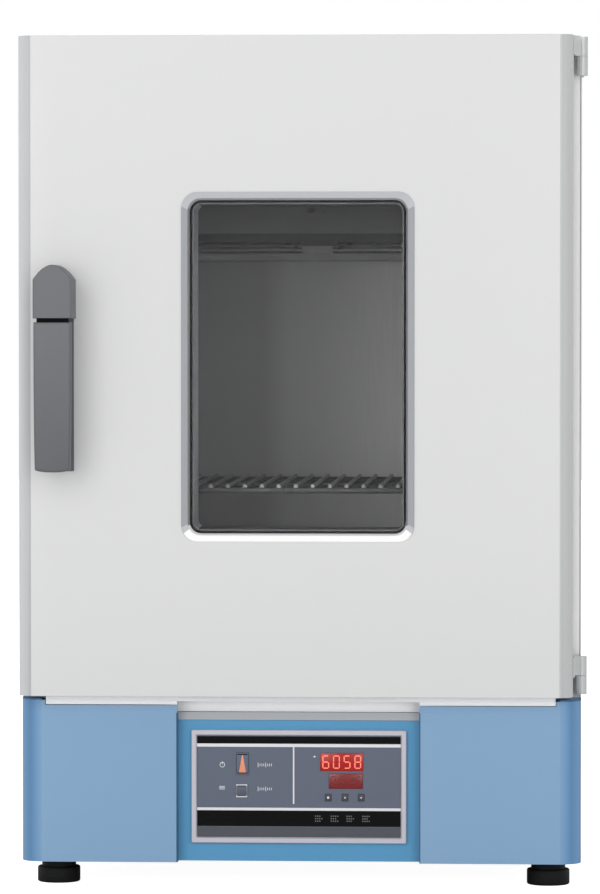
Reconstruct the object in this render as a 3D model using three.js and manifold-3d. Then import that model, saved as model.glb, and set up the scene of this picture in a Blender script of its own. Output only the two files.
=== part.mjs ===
// A bench-top forced air drying oven: a white steel cabinet with a hinged glazed door,
// standing on a blue base that holds the controls. Millimetres, +Z up, the front faces -Y.
// Until the last line of this file, x = 0 is the middle of the cabinet, y = 0 the front
// of the cabinet behind the door, and z = 0 the surface that the feet stand on.

import * as THREE from "three";
import { mergeVertices } from "three/addons/utils/BufferGeometryUtils.js";
import Module from "manifold-3d";

const wasm = await Module();
wasm.setup();

// Cabinet, base and sheet metal
const shellWidth = 586;
const shellHeight = 705.2;
const shellDepth = 500;
const baseHeight = 159.2;
const baseForward = 42;
const footHeight = 27;
const sheet = 1.5;
const seat = 0.3;
const overrun = 4;

// Working chamber
const wallSide = 68;
const wallTop = 67.7;
const wallBack = 100;
const chamberRise = 77.5;
const chamberSheet = 1.2;

// Door
const hingeStrip = 9;
const doorLift = 16.2;
const doorThickness = 60;
const doorGap = 6;
const doorDrop = 2.2;
const doorEdgeRadius = 13.5;

// Window in the door
const windowWidth = 225;
const windowHeight = 346;
const windowCorner = 12;
const windowShift = 3.2;
const windowRise = 342.9;

// Handle on the door
const handleWidth = 40;
const handleHeight = 214;
const handleReach = 50;
const handleInset = 41;
const handleRise = 234.6;

// Control panel in the base
const recessWidth = 253.6;
const recessShift = 2;
const recessDepth = 15;
const fasciaMargin = 14.05;
const fasciaHeight = 118.5;
const fasciaRise = 78.8;

// Places that follow from the sizes above
const shellHalf = shellWidth / 2;
const baseHalf = shellHalf;
const shellBottom = footHeight + baseHeight;
const shellTop = shellBottom + shellHeight;
const chamberWidth = shellWidth - 2 * wallSide;
const chamberHeight = shellHeight - chamberRise - wallTop;
const chamberDepth = shellDepth - wallBack;
const chamberHalf = chamberWidth / 2;
const chamberBottom = shellBottom + chamberRise;
const chamberTop = chamberBottom + chamberHeight;
const doorLeft = -shellHalf;
const doorRight = shellHalf - hingeStrip;
const doorWidth = doorRight - doorLeft;
const doorTop = shellTop - doorDrop;
const doorBottom = shellBottom + doorLift;
const doorHeight = doorTop - doorBottom;
const doorBack = -doorGap;
const doorFront = doorBack - doorThickness;
const windowX = (doorLeft + doorRight) / 2 + windowShift;
const windowZ = doorBottom + windowRise;
const baseFront = -baseForward;
const recessX = -recessShift;
const recessHalf = recessWidth / 2;
const fasciaWidth = recessWidth - 2 * fasciaMargin;
const handleX = doorLeft + handleInset;
const handleBottom = doorBottom + handleRise;

const X = new THREE.Vector3(1, 0, 0);
const Y = new THREE.Vector3(0, 1, 0);
const Z = new THREE.Vector3(0, 0, 1);

// A closed geometry as a solid that can be joined and cut
const weld = 0.0005;
function solid(geometry) {
  const bare = geometry.index ? geometry.toNonIndexed() : geometry.clone();
  bare.deleteAttribute("normal");
  bare.deleteAttribute("uv");
  const merged = mergeVertices(bare, weld);
  return new wasm.Manifold(
    new wasm.Mesh({
      numProp: 3,
      vertProperties: merged.attributes.position.array,
      triVerts: new Uint32Array(merged.index.array),
    }),
  );
}

// A solid turned back into a geometry with flat shading
function surface(made) {
  const { numProp, vertProperties, triVerts } = made.getMesh();
  const corners = new Float32Array(triVerts.length * 3);
  triVerts.forEach((vertex, i) => {
    corners.set(vertProperties.subarray(vertex * numProp, vertex * numProp + 3), i * 3);
  });
  const geometry = new THREE.BufferGeometry();
  geometry.setAttribute("position", new THREE.BufferAttribute(corners, 3));
  geometry.computeVertexNormals();
  return geometry;
}

// One named sub-part in its finish
function piece(name, made, material, place = [0, 0, 0]) {
  const mesh = new THREE.Mesh(surface(made), material);
  mesh.name = name;
  mesh.position.set(...place);
  return mesh;
}

function finish(color, roughness, metalness) {
  return new THREE.MeshStandardMaterial({ color, roughness, metalness });
}

const whitePaint = finish(0xdfe0e0, 0.45, 0.05);
const bluePaint = finish(0x6fa3cc, 0.45, 0.05);
const deepBluePaint = finish(0x4f8fbe, 0.45, 0.05);
const steel = finish(0xb4b6b8, 0.35, 0.9);
const darkSteel = finish(0x6e7072, 0.5, 0.8);
const silver = finish(0xc4bfcb, 0.35, 0.6);
const greyPlastic = finish(0x6e7074, 0.5, 0);
const blackPlastic = finish(0x1a1b1c, 0.5, 0);
const panelGrey = finish(0x5d6576, 0.55, 0);
const redDisplay = finish(0xa00000, 0.25, 0);
const darkRedDisplay = finish(0x7a1214, 0.25, 0);
const salmonLens = finish(0xe19173, 0.3, 0);
const siliconeRubber = finish(0xd9d5cf, 0.7, 0);
const glassFinish = finish(0x9fa9ad, 0.05, 0);
const mineralWool = finish(0xc9b96a, 0.95, 0);
const boardGreen = finish(0x2f6b45, 0.5, 0);

// A box between two values along each axis
function block(x0, x1, y0, y1, z0, z1) {
  const box = new THREE.BoxGeometry(x1 - x0, y1 - y0, z1 - z0);
  box.translate((x0 + x1) / 2, (y0 + y1) / 2, (z0 + z1) / 2);
  return solid(box);
}

const arcSteps = 5;

function extruded(shape, depth, steps) {
  return new THREE.ExtrudeGeometry(shape, { depth, bevelEnabled: false, curveSegments: steps });
}

// An outline drawn in x and z, standing between two values of y
function upright(shape, y0, y1, steps = arcSteps) {
  const geometry = extruded(shape, y1 - y0, steps);
  geometry.applyMatrix4(new THREE.Matrix4().makeBasis(X, Z, Y.clone().negate()));
  geometry.translate(0, y1, 0);
  return solid(geometry);
}

// An outline drawn in x and y, lying between two values of z
function flat(shape, z0, z1, steps = arcSteps) {
  const geometry = extruded(shape, z1 - z0, steps);
  geometry.translate(0, 0, z0);
  return solid(geometry);
}

// An outline drawn in y and z, seen from the side, between two values of x
function sideways(shape, x0, x1, steps = arcSteps) {
  const geometry = extruded(shape, x1 - x0, steps);
  geometry.applyMatrix4(new THREE.Matrix4().makeBasis(Y, Z, X));
  geometry.translate(x0, 0, 0);
  return solid(geometry);
}

// A rectangle with round corners, as an outline
function rounded(a0, a1, b0, b1, radius, Kind = THREE.Shape) {
  const quarter = Math.PI / 2;
  const outline = new Kind();
  outline.absarc(a1 - radius, b0 + radius, radius, -quarter, 0, false);
  outline.absarc(a1 - radius, b1 - radius, radius, 0, quarter, false);
  outline.absarc(a0 + radius, b1 - radius, radius, quarter, 2 * quarter, false);
  outline.absarc(a0 + radius, b0 + radius, radius, 2 * quarter, 3 * quarter, false);
  outline.closePath();
  return outline;
}

// An outline through corner points
function polygon(points) {
  return new THREE.Shape(points.map(([a, b]) => new THREE.Vector2(a, b)));
}

// A round bar between two points
const roundSides = 16;
const smallSides = 8;
const hexSides = 6;
function rod(radius, from, to, sides = roundSides) {
  const start = new THREE.Vector3(...from);
  const along = new THREE.Vector3(...to).sub(start);
  const geometry = new THREE.CylinderGeometry(radius, radius, along.length(), sides);
  geometry.applyQuaternion(
    new THREE.Quaternion().setFromUnitVectors(Y, along.clone().normalize()),
  );
  geometry.translate(...start.addScaledVector(along, 0.5).toArray());
  return solid(geometry);
}

// A frame whose cross-section is a closed loop of rounded rectangles, each at its own y
function lofted(sections, steps = arcSteps) {
  const rings = sections.map(({ width, height, radius, y }) =>
    rounded(-width / 2, width / 2, -height / 2, height / 2, radius)
      .getPoints(steps)
      .slice(0, -1)
      .map((p) => [p.x, y, p.y]),
  );
  const count = rings[0].length;
  const positions = rings.flat(2);
  const index = [];
  rings.forEach((ring, i) => {
    const next = (i + 1) % rings.length;
    for (let j = 0; j < count; j++) {
      const k = (j + 1) % count;
      const [a, b, c, d] = [i * count + j, i * count + k, next * count + j, next * count + k];
      index.push(a, c, b, b, c, d);
    }
  });
  const geometry = new THREE.BufferGeometry();
  geometry.setAttribute("position", new THREE.Float32BufferAttribute(positions, 3));
  geometry.setIndex(index);
  return solid(geometry);
}

function joined(solids) {
  return solids.reduce((all, one) => all.add(one));
}

function cutBy(made, cutters) {
  return cutters.reduce((left, cutter) => left.subtract(cutter), made);
}

const oven = new THREE.Group();
const add = (group, ...meshes) => group.add(...meshes);

// Feet: moulded rubber, screwed up into the base floor
const footRadius = 22.5;
const footNeckRadius = 18;
const footFlange = 16.5;
const footChamfer = 1.5;
const footInset = 34.2;
const footX = baseHalf - footInset;
const footSetback = 60;
const footSides = 20;
function foot(name, x, y) {
  const profile = [
    [0, 0],
    [footRadius - footChamfer, 0],
    [footRadius, footChamfer],
    [footRadius, footFlange - footChamfer],
    [footRadius - footChamfer, footFlange],
    [footNeckRadius, footFlange],
    [footNeckRadius, footHeight - seat],
    [0, footHeight - seat],
  ].map(([r, z]) => new THREE.Vector2(r, z));
  const turned = new THREE.LatheGeometry(profile, footSides);
  turned.applyMatrix4(new THREE.Matrix4().makeBasis(X, Z, Y.clone().negate()));
  return piece(name, solid(turned), blackPlastic, [x, y, 0]);
}

// Base: a folded blue sheet round three sides, stepped back in the middle of its front
const postRise = 6.6;
const postInset = 26;
const panelRise = 5.5;
const postCorner = 22;
const plateDepth = 2;
const trimHeight = 8.8;
const sillDrop = 2.4;
const sillBottom = shellBottom - sillDrop;
const plateTop = sillBottom - trimHeight;
const panelTop = shellBottom + panelRise;
const postTop = panelTop + postRise;
const baseCornerSteps = 8;
const recessBack = baseFront + recessDepth + plateDepth + seat;
const fasciaZ = footHeight + fasciaRise;
const bodyWidth = 200;
const bodyHeight = 96;

function wrapOutline(inset) {
  const half = baseHalf - inset;
  const front = baseFront + inset;
  const radius = Math.max(postCorner - inset, 0);
  const left = recessX - recessHalf - inset;
  const right = recessX + recessHalf + inset;
  return { half, front, radius, left, right, back: recessBack + inset };
}

function baseShell() {
  const outer = wrapOutline(0);
  const inner = wrapOutline(sheet);
  const plan = new THREE.Shape();
  plan.moveTo(-outer.half, shellDepth);
  plan.lineTo(-outer.half, outer.front + outer.radius);
  plan.absarc(
    -outer.half + outer.radius, outer.front + outer.radius, outer.radius, Math.PI, 1.5 * Math.PI, false,
  );
  plan.lineTo(outer.left, outer.front);
  plan.lineTo(outer.left, outer.back);
  plan.lineTo(outer.right, outer.back);
  plan.lineTo(outer.right, outer.front);
  plan.absarc(
    outer.half - outer.radius, outer.front + outer.radius, outer.radius, -Math.PI / 2, 0, false,
  );
  plan.lineTo(outer.half, shellDepth);
  plan.lineTo(inner.half, shellDepth);
  plan.absarc(
    inner.half - inner.radius, inner.front + inner.radius, inner.radius, 0, -Math.PI / 2, true,
  );
  plan.lineTo(inner.right, inner.front);
  plan.lineTo(inner.right, inner.back);
  plan.lineTo(inner.left, inner.back);
  plan.lineTo(inner.left, inner.front);
  plan.absarc(
    -inner.half + inner.radius, inner.front + inner.radius, inner.radius, -Math.PI / 2, -Math.PI, true,
  );
  plan.lineTo(-inner.half, shellDepth);
  plan.closePath();
  const behind = block(
    -baseHalf - overrun, baseHalf + overrun, -seat, shellDepth + overrun,
    shellBottom - seat, postTop + overrun,
  );
  const betweenPosts = block(
    -baseHalf + postInset, baseHalf - postInset, baseFront - overrun, 0, panelTop, postTop + overrun,
  );
  const aboveRecess = block(
    recessX - recessHalf - sheet - overrun, recessX + recessHalf + sheet + overrun,
    baseFront + sheet, 0, sillBottom - seat, postTop + overrun,
  );
  const overPlate = block(
    recessX - recessHalf, recessX + recessHalf, recessBack - seat, 0, sillBottom - seat, postTop + overrun,
  );
  const window = block(
    recessX - bodyWidth / 2 - seat, recessX + bodyWidth / 2 + seat,
    baseFront, 0, fasciaZ - bodyHeight / 2 - seat, fasciaZ + bodyHeight / 2 + seat,
  );
  const walls = flat(plan, footHeight, postTop, baseCornerSteps);
  const caps = [-1, 1].map((side) => postCap(side));
  return cutBy(joined([walls, ...caps]), [behind, betweenPosts, aboveRecess, overPlate, window]);
}

// The closed top of a corner post
function postCap(side) {
  const outer = wrapOutline(0);
  const plan = new THREE.Shape();
  plan.moveTo(outer.half, -seat);
  plan.lineTo(outer.half - postInset, -seat);
  plan.lineTo(outer.half - postInset, outer.front);
  plan.absarc(
    outer.half - outer.radius, outer.front + outer.radius, outer.radius, -Math.PI / 2, 0, false,
  );
  plan.closePath();
  const cap = flat(plan, postTop - sheet, postTop, baseCornerSteps);
  return side > 0 ? cap : cap.mirror([1, 0, 0]);
}

// The base's floor pan, with four feet under it
function baseFloor() {
  const half = baseHalf - sheet - seat;
  const outline = new THREE.Shape();
  const front = baseFront + sheet + seat;
  const radius = Math.max(postCorner - sheet, seat);
  const back = shellDepth - sheet - 2 * seat;
  const edge = recessX - recessHalf - sheet - seat;
  const farEdge = recessX + recessHalf + sheet + seat;
  const step = recessBack + sheet + seat;
  outline.moveTo(-half, back);
  outline.lineTo(-half, front + radius);
  outline.absarc(-half + radius, front + radius, radius, Math.PI, 1.5 * Math.PI, false);
  outline.lineTo(edge, front);
  outline.lineTo(edge, step);
  outline.lineTo(farEdge, step);
  outline.lineTo(farEdge, front);
  outline.absarc(half - radius, front + radius, radius, -Math.PI / 2, 0, false);
  outline.lineTo(half, back);
  outline.closePath();
  return flat(outline, footHeight, footHeight + sheet, baseCornerSteps);
}

// The base's rear panel, with the mains inlet's cut-out and cooling slots
const inletWidth = 48;
const inletHeight = 28;
const inletDepth = 32;
const inletInset = 103;
const inletSide = baseHalf - inletInset;
const inletRise = 60;
const inletZ = footHeight + inletRise;
const slotLength = 90;
const slotHeight = 4;
const slotPitch = 12;
const slotCount = 6;
function baseRearPanel() {
  const half = baseHalf - sheet - seat;
  const panel = block(
    -half, half, shellDepth - sheet, shellDepth, footHeight + sheet + seat, shellBottom - 2 * seat,
  );
  const inletHole = block(
    inletSide - inletWidth / 2 - seat, inletSide + inletWidth / 2 + seat,
    shellDepth - sheet - overrun, shellDepth + overrun,
    inletZ - inletHeight / 2 - seat, inletZ + inletHeight / 2 + seat,
  );
  const slots = Array.from({ length: slotCount }, (_, i) => {
    const z = inletZ + (i - (slotCount - 1) / 2) * slotPitch;
    return block(
      -slotLength / 2, slotLength / 2, shellDepth - sheet - overrun, shellDepth + overrun,
      z - slotHeight / 2, z + slotHeight / 2,
    );
  });
  return cutBy(panel, [inletHole, ...slots]);
}

// The mains inlet: a moulded socket with a flange outside the panel and a fuse drawer
const inletFlange = 5;
const inletFlangeThick = 2.5;
const inletWall = 3;
const inletHollow = 18;
const fuseShare = 0.3;
function mainsInlet() {
  const outside = shellDepth + seat;
  const flange = upright(
    rounded(
      -inletWidth / 2 - inletFlange, inletWidth / 2 + inletFlange,
      -inletHeight / 2 - inletFlange, inletHeight / 2 + inletFlange, inletFlange,
    ),
    outside, outside + inletFlangeThick,
  );
  const body = block(
    -inletWidth / 2, inletWidth / 2, outside - inletDepth, outside + seat,
    -inletHeight / 2, inletHeight / 2,
  );
  const hollow = block(
    -inletWidth / 2 + inletWall + fuseShare * inletWidth, inletWidth / 2 - inletWall,
    outside + inletFlangeThick - inletHollow, outside + inletFlangeThick + overrun,
    -inletHeight / 2 + inletWall, inletHeight / 2 - inletWall,
  );
  return joined([flange, body]).subtract(hollow);
}

// The white sill between the corner posts: a lid that closes the base under the door,
// folded down behind the blue panels' top edge and, in the recess, down to the trim strip
const sillGap = 0.6;
function frontSill() {
  const half = baseHalf - postInset - sillGap;
  const top = postTop - sillGap;
  const front = baseFront + sillGap;
  const middle = recessBack + sheet + sillGap;
  const lid = block(-half, half, front, -seat, top - sheet, top);
  const lips = [
    [-half, recessX - recessHalf],
    [recessX + recessHalf, half],
  ].map(([x0, x1]) => block(x0, x1, front, front + sheet, panelTop + sillGap, top));
  const face = block(-half, half, middle, middle + sheet, sillBottom, top);
  return joined([lid, ...lips, face]);
}

const base = new THREE.Group();
add(
  base,
  piece("base_shell", baseShell(), bluePaint),
  piece("base_floor", baseFloor(), darkSteel),
  piece("base_rear_panel", baseRearPanel(), bluePaint),
  piece("mains_inlet", mainsInlet(), blackPlastic, [inletSide, 0, inletZ]),
  piece("front_sill", frontSill(), whitePaint),
);
for (const [side, x] of [["left", -footX], ["right", footX]]) {
  add(
    base,
    foot(`foot_front_${side}`, x, baseFront + footSetback),
    foot(`foot_rear_${side}`, x, shellDepth - footSetback),
  );
}
add(oven, base);

// Cabinet: an outer sleeve of folded sheet, a front frame, a rear panel and the chamber
const shellCorner = 2;
const shellSteps = 3;
function cabinetShell() {
  const outline = rounded(-shellHalf, shellHalf, shellBottom, shellTop, shellCorner);
  outline.holes.push(
    rounded(
      -shellHalf + sheet, shellHalf - sheet, shellBottom + sheet, shellTop - sheet,
      shellCorner - sheet, THREE.Path,
    ),
  );
  return upright(outline, 0, shellDepth, shellSteps);
}

// An upright sheet that fits inside the sleeve
function innerSheet(y0, y1) {
  const half = shellHalf - sheet - seat;
  return block(-half, half, y0, y1, shellBottom + sheet + seat, shellTop - sheet - seat);
}

// Latch sizes that the cabinet and the door share
const latchThick = 4;
const latchRise = 12;
const latchHeight = 10;
const noseRise = 4;
const noseBack = 10;
const noseClear = 0.5;
const leverAngle = (14 * Math.PI) / 180;
const pivotRise = 164.7;
const pivotZ = handleBottom + pivotRise;
const pivotInset = 10;
const pivotY = doorFront - handleReach + pivotInset;
const armReach = 54;
const latchSide = 6;
const latchX = handleX - latchSide;
const latchTravel = armReach * leverAngle;
const tongueTop = pivotZ + latchRise + latchHeight;
const latchRun = 2;
const keeperWidth = 26;
const keeperHeight = 56;
const keeperThick = 3;
const keeperSlotTop = tongueTop + noseRise + noseClear;
const keeperSlotBottom = tongueTop - latchHeight - latchTravel - latchRun;

// The slot that the latch nose reaches through, between two values of y
function latchSlot(y0, y1, spare) {
  return block(
    latchX - latchThick / 2 - latchRun - spare, latchX + latchThick / 2 + latchRun + spare,
    y0, y1, keeperSlotBottom - spare, keeperSlotTop + spare,
  );
}

function frontFrame() {
  const frame = innerSheet(0, sheet);
  const mouth = upright(
    rounded(
      -chamberHalf - seat, chamberHalf + seat, chamberBottom - seat, chamberTop + seat,
      chamberCorner + seat,
    ),
    -overrun, sheet + overrun,
  );
  return cutBy(frame, [mouth, latchSlot(-overrun, sheet + overrun, seat)]);
}

function keeper() {
  const middle = (keeperSlotTop + keeperSlotBottom) / 2;
  const outline = rounded(
    latchX - keeperWidth / 2, latchX + keeperWidth / 2,
    middle - keeperHeight / 2, middle + keeperHeight / 2, shellCorner,
  );
  const plate = upright(outline, -seat - keeperThick, -seat, shellSteps);
  return plate.subtract(latchSlot(-keeperThick - overrun, overrun, 0));
}

// The chamber: a stainless steel box with an open front, turned out behind the front frame
const chamberCorner = 8;
const chamberFlange = 8;
const shaftRadius = 5;
const shaftRun = 0.5;
const fanDrop = 85;
const fanZ = chamberTop - fanDrop;
const ventX = -140;
const ventDrop = 70;
const ventZ = chamberTop - ventDrop;
const ventRadius = 20;
const ventWall = 1.5;
const probeX = 130;
const probeDrop = 60;
const probeZ = chamberTop - probeDrop;
const probeRadius = 3;
const elementRing = 66;
const elementGap = 0.35;
const elementRadius = 4;
const leadX = elementRing * Math.sin(elementGap);
const leadZ = fanZ - elementRing * Math.cos(elementGap);

// The ways through the back of the chamber, the wool and the rear panel
const ventSides = 24;
function wayThrough(x, z, radius, y0, y1) {
  return rod(radius, [x, y0, z], [x, y1, z], ventSides);
}

function rearWays(y0, y1) {
  return [
    wayThrough(0, fanZ, shaftRadius + shaftRun, y0, y1),
    wayThrough(ventX, ventZ, ventRadius + ventWall + seat, y0, y1),
    wayThrough(probeX, probeZ, probeRadius + seat, y0, y1),
    wayThrough(leadX, leadZ, elementRadius + seat, y0, y1),
    wayThrough(-leadX, leadZ, elementRadius + seat, y0, y1),
  ];
}

function innerChamber() {
  const grow = (by) => rounded(
    -chamberHalf - by, chamberHalf + by, chamberBottom - by, chamberTop + by, chamberCorner + by,
  );
  const front = sheet + seat;
  const outside = upright(grow(chamberSheet), front, chamberDepth + chamberSheet, shellSteps);
  const lip = upright(grow(chamberFlange), front, front + chamberSheet, shellSteps);
  const inside = upright(grow(0), -overrun, chamberDepth, shellSteps);
  const ways = rearWays(chamberDepth - overrun, chamberDepth + chamberSheet + overrun);
  return cutBy(outside.add(lip), [inside, ...ways]);
}

// Mineral wool round the chamber, and a slab of it behind
const woolBack = chamberDepth + chamberSheet + seat;
const woolFront = sheet + 2 * seat + chamberSheet;
const noseRoom = 18;
function insulationJacket() {
  const wool = innerSheet(woolFront, woolBack);
  const hollow = block(
    -chamberHalf - chamberSheet - seat, chamberHalf + chamberSheet + seat,
    0, woolBack + overrun,
    chamberBottom - chamberSheet - seat, chamberTop + chamberSheet + seat,
  );
  const pocket = latchSlot(0, noseRoom, latchRun);
  return cutBy(wool, [hollow, pocket]);
}

function insulationRear() {
  const y0 = woolBack + seat;
  const y1 = shellDepth - sheet - seat;
  return cutBy(innerSheet(y0, y1), rearWays(y0 - overrun, y1 + overrun));
}

// The rear panel, with holes for the shaft, the vent, the probe and the heater's leads
const motorRadius = 40;
function rearPanel() {
  const y0 = shellDepth - sheet;
  return cutBy(innerSheet(y0, shellDepth), rearWays(y0 - overrun, shellDepth + overrun));
}

// The fan motor stands on the rear panel, on a square flange, with its shaft through the wool
const motorFlange = 92;
const motorFlangeThick = 3;
const motorLength = 42;
const motorChamfer = 4;
function fanMotor() {
  const y0 = shellDepth + seat;
  const flange = block(
    -motorFlange / 2, motorFlange / 2, y0, y0 + motorFlangeThick,
    fanZ - motorFlange / 2, fanZ + motorFlange / 2,
  );
  const can = wayThrough(0, fanZ, motorRadius, y0, y0 + motorLength - motorChamfer);
  const end = wayThrough(0, fanZ, motorRadius - motorChamfer, y0, y0 + motorLength);
  const bore = wayThrough(0, fanZ, shaftRadius + seat, y0 - overrun, y0 + motorLength / 2);
  return joined([flange, can, end]).subtract(bore);
}

// A folded cover over the motor, open to the panel behind it, with cooling slots
const coverWidth = 190;
const coverHeight = 150;
const coverDepth = 54;
const coverCorner = 6;
const coverFlange = 12;
const coverSlotCount = 5;
const coverSlotLength = 80;
function motorCover() {
  const y0 = shellDepth + seat;
  const half = coverWidth / 2;
  const tall = coverHeight / 2;
  const box = upright(rounded(-half, half, fanZ - tall, fanZ + tall, coverCorner), y0, y0 + coverDepth);
  const brim = upright(
    rounded(
      -half - coverFlange, half + coverFlange, fanZ - tall - coverFlange, fanZ + tall + coverFlange,
      coverCorner,
    ),
    y0, y0 + sheet,
  );
  const inside = block(
    -half + sheet, half - sheet, y0 - overrun, y0 + coverDepth - sheet,
    fanZ - tall + sheet, fanZ + tall - sheet,
  );
  const slots = Array.from({ length: coverSlotCount }, (_, i) => {
    const z = fanZ + (i - (coverSlotCount - 1) / 2) * slotPitch;
    return block(
      -coverSlotLength / 2, coverSlotLength / 2, y0 + coverDepth - sheet - overrun,
      y0 + coverDepth + overrun, z - slotHeight / 2, z + slotHeight / 2,
    );
  });
  return cutBy(box.add(brim), [inside, ...slots]);
}

// The vent: a steel tube from the chamber's back to behind the cabinet
const ventOut = 42;
const spindleRadius = 3;
const spindleBack = 20;
const spindleRun = 0.4;
const ventEnd = shellDepth + ventOut;
function ventTube() {
  const bar = (radius, y0, y1) => rod(radius, [0, y0, 0], [0, y1, 0], ventSides);
  const tube = bar(ventRadius + ventWall, chamberDepth - seat, ventEnd);
  const bore = bar(ventRadius, chamberDepth - overrun, ventEnd + overrun);
  const spindle = rod(
    spindleRadius + spindleRun,
    [0, ventEnd - spindleBack, -ventRadius - overrun], [0, ventEnd - spindleBack, ventRadius + overrun],
  );
  return cutBy(tube, [bore, spindle]);
}

// The damper: a disc on a spindle, turned by a knob above the tube
const damperRadius = 18.5;
const damperThick = 1.5;
const knobRadius = 9;
const knobHeight = 12;
const knobGrip = 5;
function ventDamper() {
  const knobBottom = ventRadius + ventWall + seat;
  const disc = rod(damperRadius, [-damperThick / 2, 0, 0], [damperThick / 2, 0, 0], ventSides);
  const spindle = rod(
    spindleRadius, [0, 0, -ventRadius - ventWall], [0, 0, knobBottom + knobHeight / 2],
  );
  const knob = rod(knobRadius, [0, 0, knobBottom], [0, 0, knobBottom + knobHeight]);
  const grip = block(
    -knobGrip / 2, knobGrip / 2, -knobRadius - knobGrip / 2, knobRadius + knobGrip / 2,
    knobBottom, knobBottom + knobHeight,
  );
  return joined([disc, spindle, knob, grip]);
}

// Fan: a wheel of blades between two rings, on a shaft that runs out to the motor
const fanRadius = 56;
const fanHub = 14;
const fanDepth = 32;
const fanSheet = 1.2;
const fanInlet = 36;
const bladeCount = 16;
const bladeInner = 38;
const fanClear = 12;
const fanBack = chamberDepth - fanClear;
function fanWheel() {
  const back = rod(fanRadius, [0, -fanSheet, 0], [0, 0, 0], 2 * bladeCount);
  const ring = rod(fanRadius, [0, -fanDepth, 0], [0, -fanDepth + fanSheet, 0], 2 * bladeCount)
    .subtract(rod(fanInlet, [0, -fanDepth - overrun, 0], [0, -fanDepth + overrun, 0], 2 * bladeCount));
  const hub = rod(fanHub, [0, -fanDepth / 2, 0], [0, 0, 0]);
  const blade = block(
    bladeInner, fanRadius - fanSheet, -fanDepth + fanSheet / 2, -fanSheet / 2,
    -fanSheet / 2, fanSheet / 2,
  );
  const blades = Array.from({ length: bladeCount }, (_, i) =>
    blade.rotate([0, (i * 360) / bladeCount, 0]),
  );
  const bore = rod(shaftRadius + seat, [0, -fanDepth, 0], [0, overrun, 0]);
  return joined([back, ring, hub, ...blades]).subtract(bore);
}

const shaftNose = 4;
function fanShaft() {
  const front = -fanDepth / 2 - shaftNose;
  const back = shellDepth + seat + motorLength / 2 - seat - fanBack;
  const nut = rod(fanHub - shaftNose, [0, front, 0], [0, -fanDepth / 2 - seat, 0], hexSides);
  return nut.add(rod(shaftRadius, [0, front, 0], [0, back, 0]));
}

// Heating element: a sheathed rod bent into a ring round the fan, with two leads to the back
const elementInset = 30;
const elementY = chamberDepth - elementInset;
const elementSides = 6;
const elementSteps = 24;
function heatingElement() {
  const ring = new THREE.Curve();
  ring.getPoint = (t, target = new THREE.Vector3()) => {
    const angle = -Math.PI / 2 + elementGap + t * 2 * (Math.PI - elementGap);
    return target.set(elementRing * Math.cos(angle), 0, elementRing * Math.sin(angle));
  };
  const section = new THREE.Shape();
  section.absarc(0, 0, elementRadius, 0, 2 * Math.PI, false);
  const loop = solid(
    new THREE.ExtrudeGeometry(section, {
      steps: elementSteps,
      extrudePath: ring,
      curveSegments: elementSides,
    }),
  );
  const low = leadZ - fanZ;
  const legs = [-leadX, leadX].map((x) =>
    rod(elementRadius, [x, 0, low], [x, shellDepth - elementY, low], elementSides),
  );
  return joined([loop, ...legs]);
}

// Temperature probe through the chamber's back
const probeReach = 60;
function temperatureProbe() {
  const stem = rod(probeRadius, [0, -probeReach, 0], [0, shellDepth - chamberDepth, 0]);
  return stem;
}

// The duct cover over the fan: a folded face with air slots low down and round holes
const ductHeight = 158;
const ductDepth = 74;
const ductSide = 10;
const ductSheet = 1.2;
const ductDrop = 6;
const bandInset = 8;
const bandSlots = 3;
const bandPitch = 5;
const bandHeight = 2.4;
const bandShare = 0.42;
const intakeRadius = 24;
const intakeHole = 4;
const intakeCount = 10;
function airDuctCover() {
  const half = chamberHalf - ductSide;
  const top = chamberTop - ductDrop;
  const bottom = top - ductHeight;
  const front = chamberDepth - seat - ductDepth;
  const box = block(-half, half, front, chamberDepth - seat, bottom, top);
  const inside = block(
    -half + ductSheet, half - ductSheet, front + ductSheet, chamberDepth + overrun,
    bottom + ductSheet, top - ductSheet,
  );
  const slots = [];
  for (let i = 0; i < bandSlots; i++) {
    const z = bottom + bandInset + i * bandPitch;
    for (const side of [-1, 1]) {
      const reach = 2 * half * bandShare;
      const x = (side * half) / 2;
      slots.push(
        block(x - reach / 2, x + reach / 2, front - overrun, front + ductSheet + overrun, z, z + bandHeight),
      );
    }
  }
  const holes = Array.from({ length: intakeCount }, (_, i) => {
    const angle = (i * 2 * Math.PI) / intakeCount;
    const [x, z] = [intakeRadius * Math.cos(angle), fanZ + intakeRadius * Math.sin(angle)];
    return rod(intakeHole, [x, front - overrun, z], [x, front + ductSheet + overrun, z], smallSides);
  });
  return cutBy(box, [inside, ...slots, ...holes]);
}

// Shelf racks: an upright at each end of a ladder of ledges, hooked on the chamber's side
const rackStrip = 14;
const rackThick = 1.5;
const rackFront = 60;
const rackSetback = 80;
const rackBack = chamberDepth - rackSetback;
const rackRise = 30;
const rackBottom = chamberBottom + rackRise;
const ledgeWidth = 9;
const ledgeThick = 1.5;
const ledgePitch = 58;
const ledgeCount = 6;
const shelfLevel = 2;
const rackTopSpare = 12;
function shelfRack(side) {
  const wall = chamberHalf - seat;
  const z1 = rackBottom + (ledgeCount - 1) * ledgePitch + rackTopSpare;
  const between = (a, b, ...rest) => (side > 0 ? block(a, b, ...rest) : block(-b, -a, ...rest));
  const strips = [rackFront, rackBack].map((y) =>
    between(wall - rackThick, wall, y, y + rackStrip, rackBottom - rackTopSpare, z1),
  );
  const ledges = Array.from({ length: ledgeCount }, (_, i) => {
    const z = rackBottom + i * ledgePitch;
    const foot = between(
      wall - ledgeWidth, wall, rackFront, rackBack + rackStrip, z - ledgeThick, z,
    );
    const back = between(
      wall - rackThick, wall, rackFront, rackBack + rackStrip, z - rackStrip, z,
    );
    return foot.add(back);
  });
  return joined([...strips, ...ledges]);
}

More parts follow.
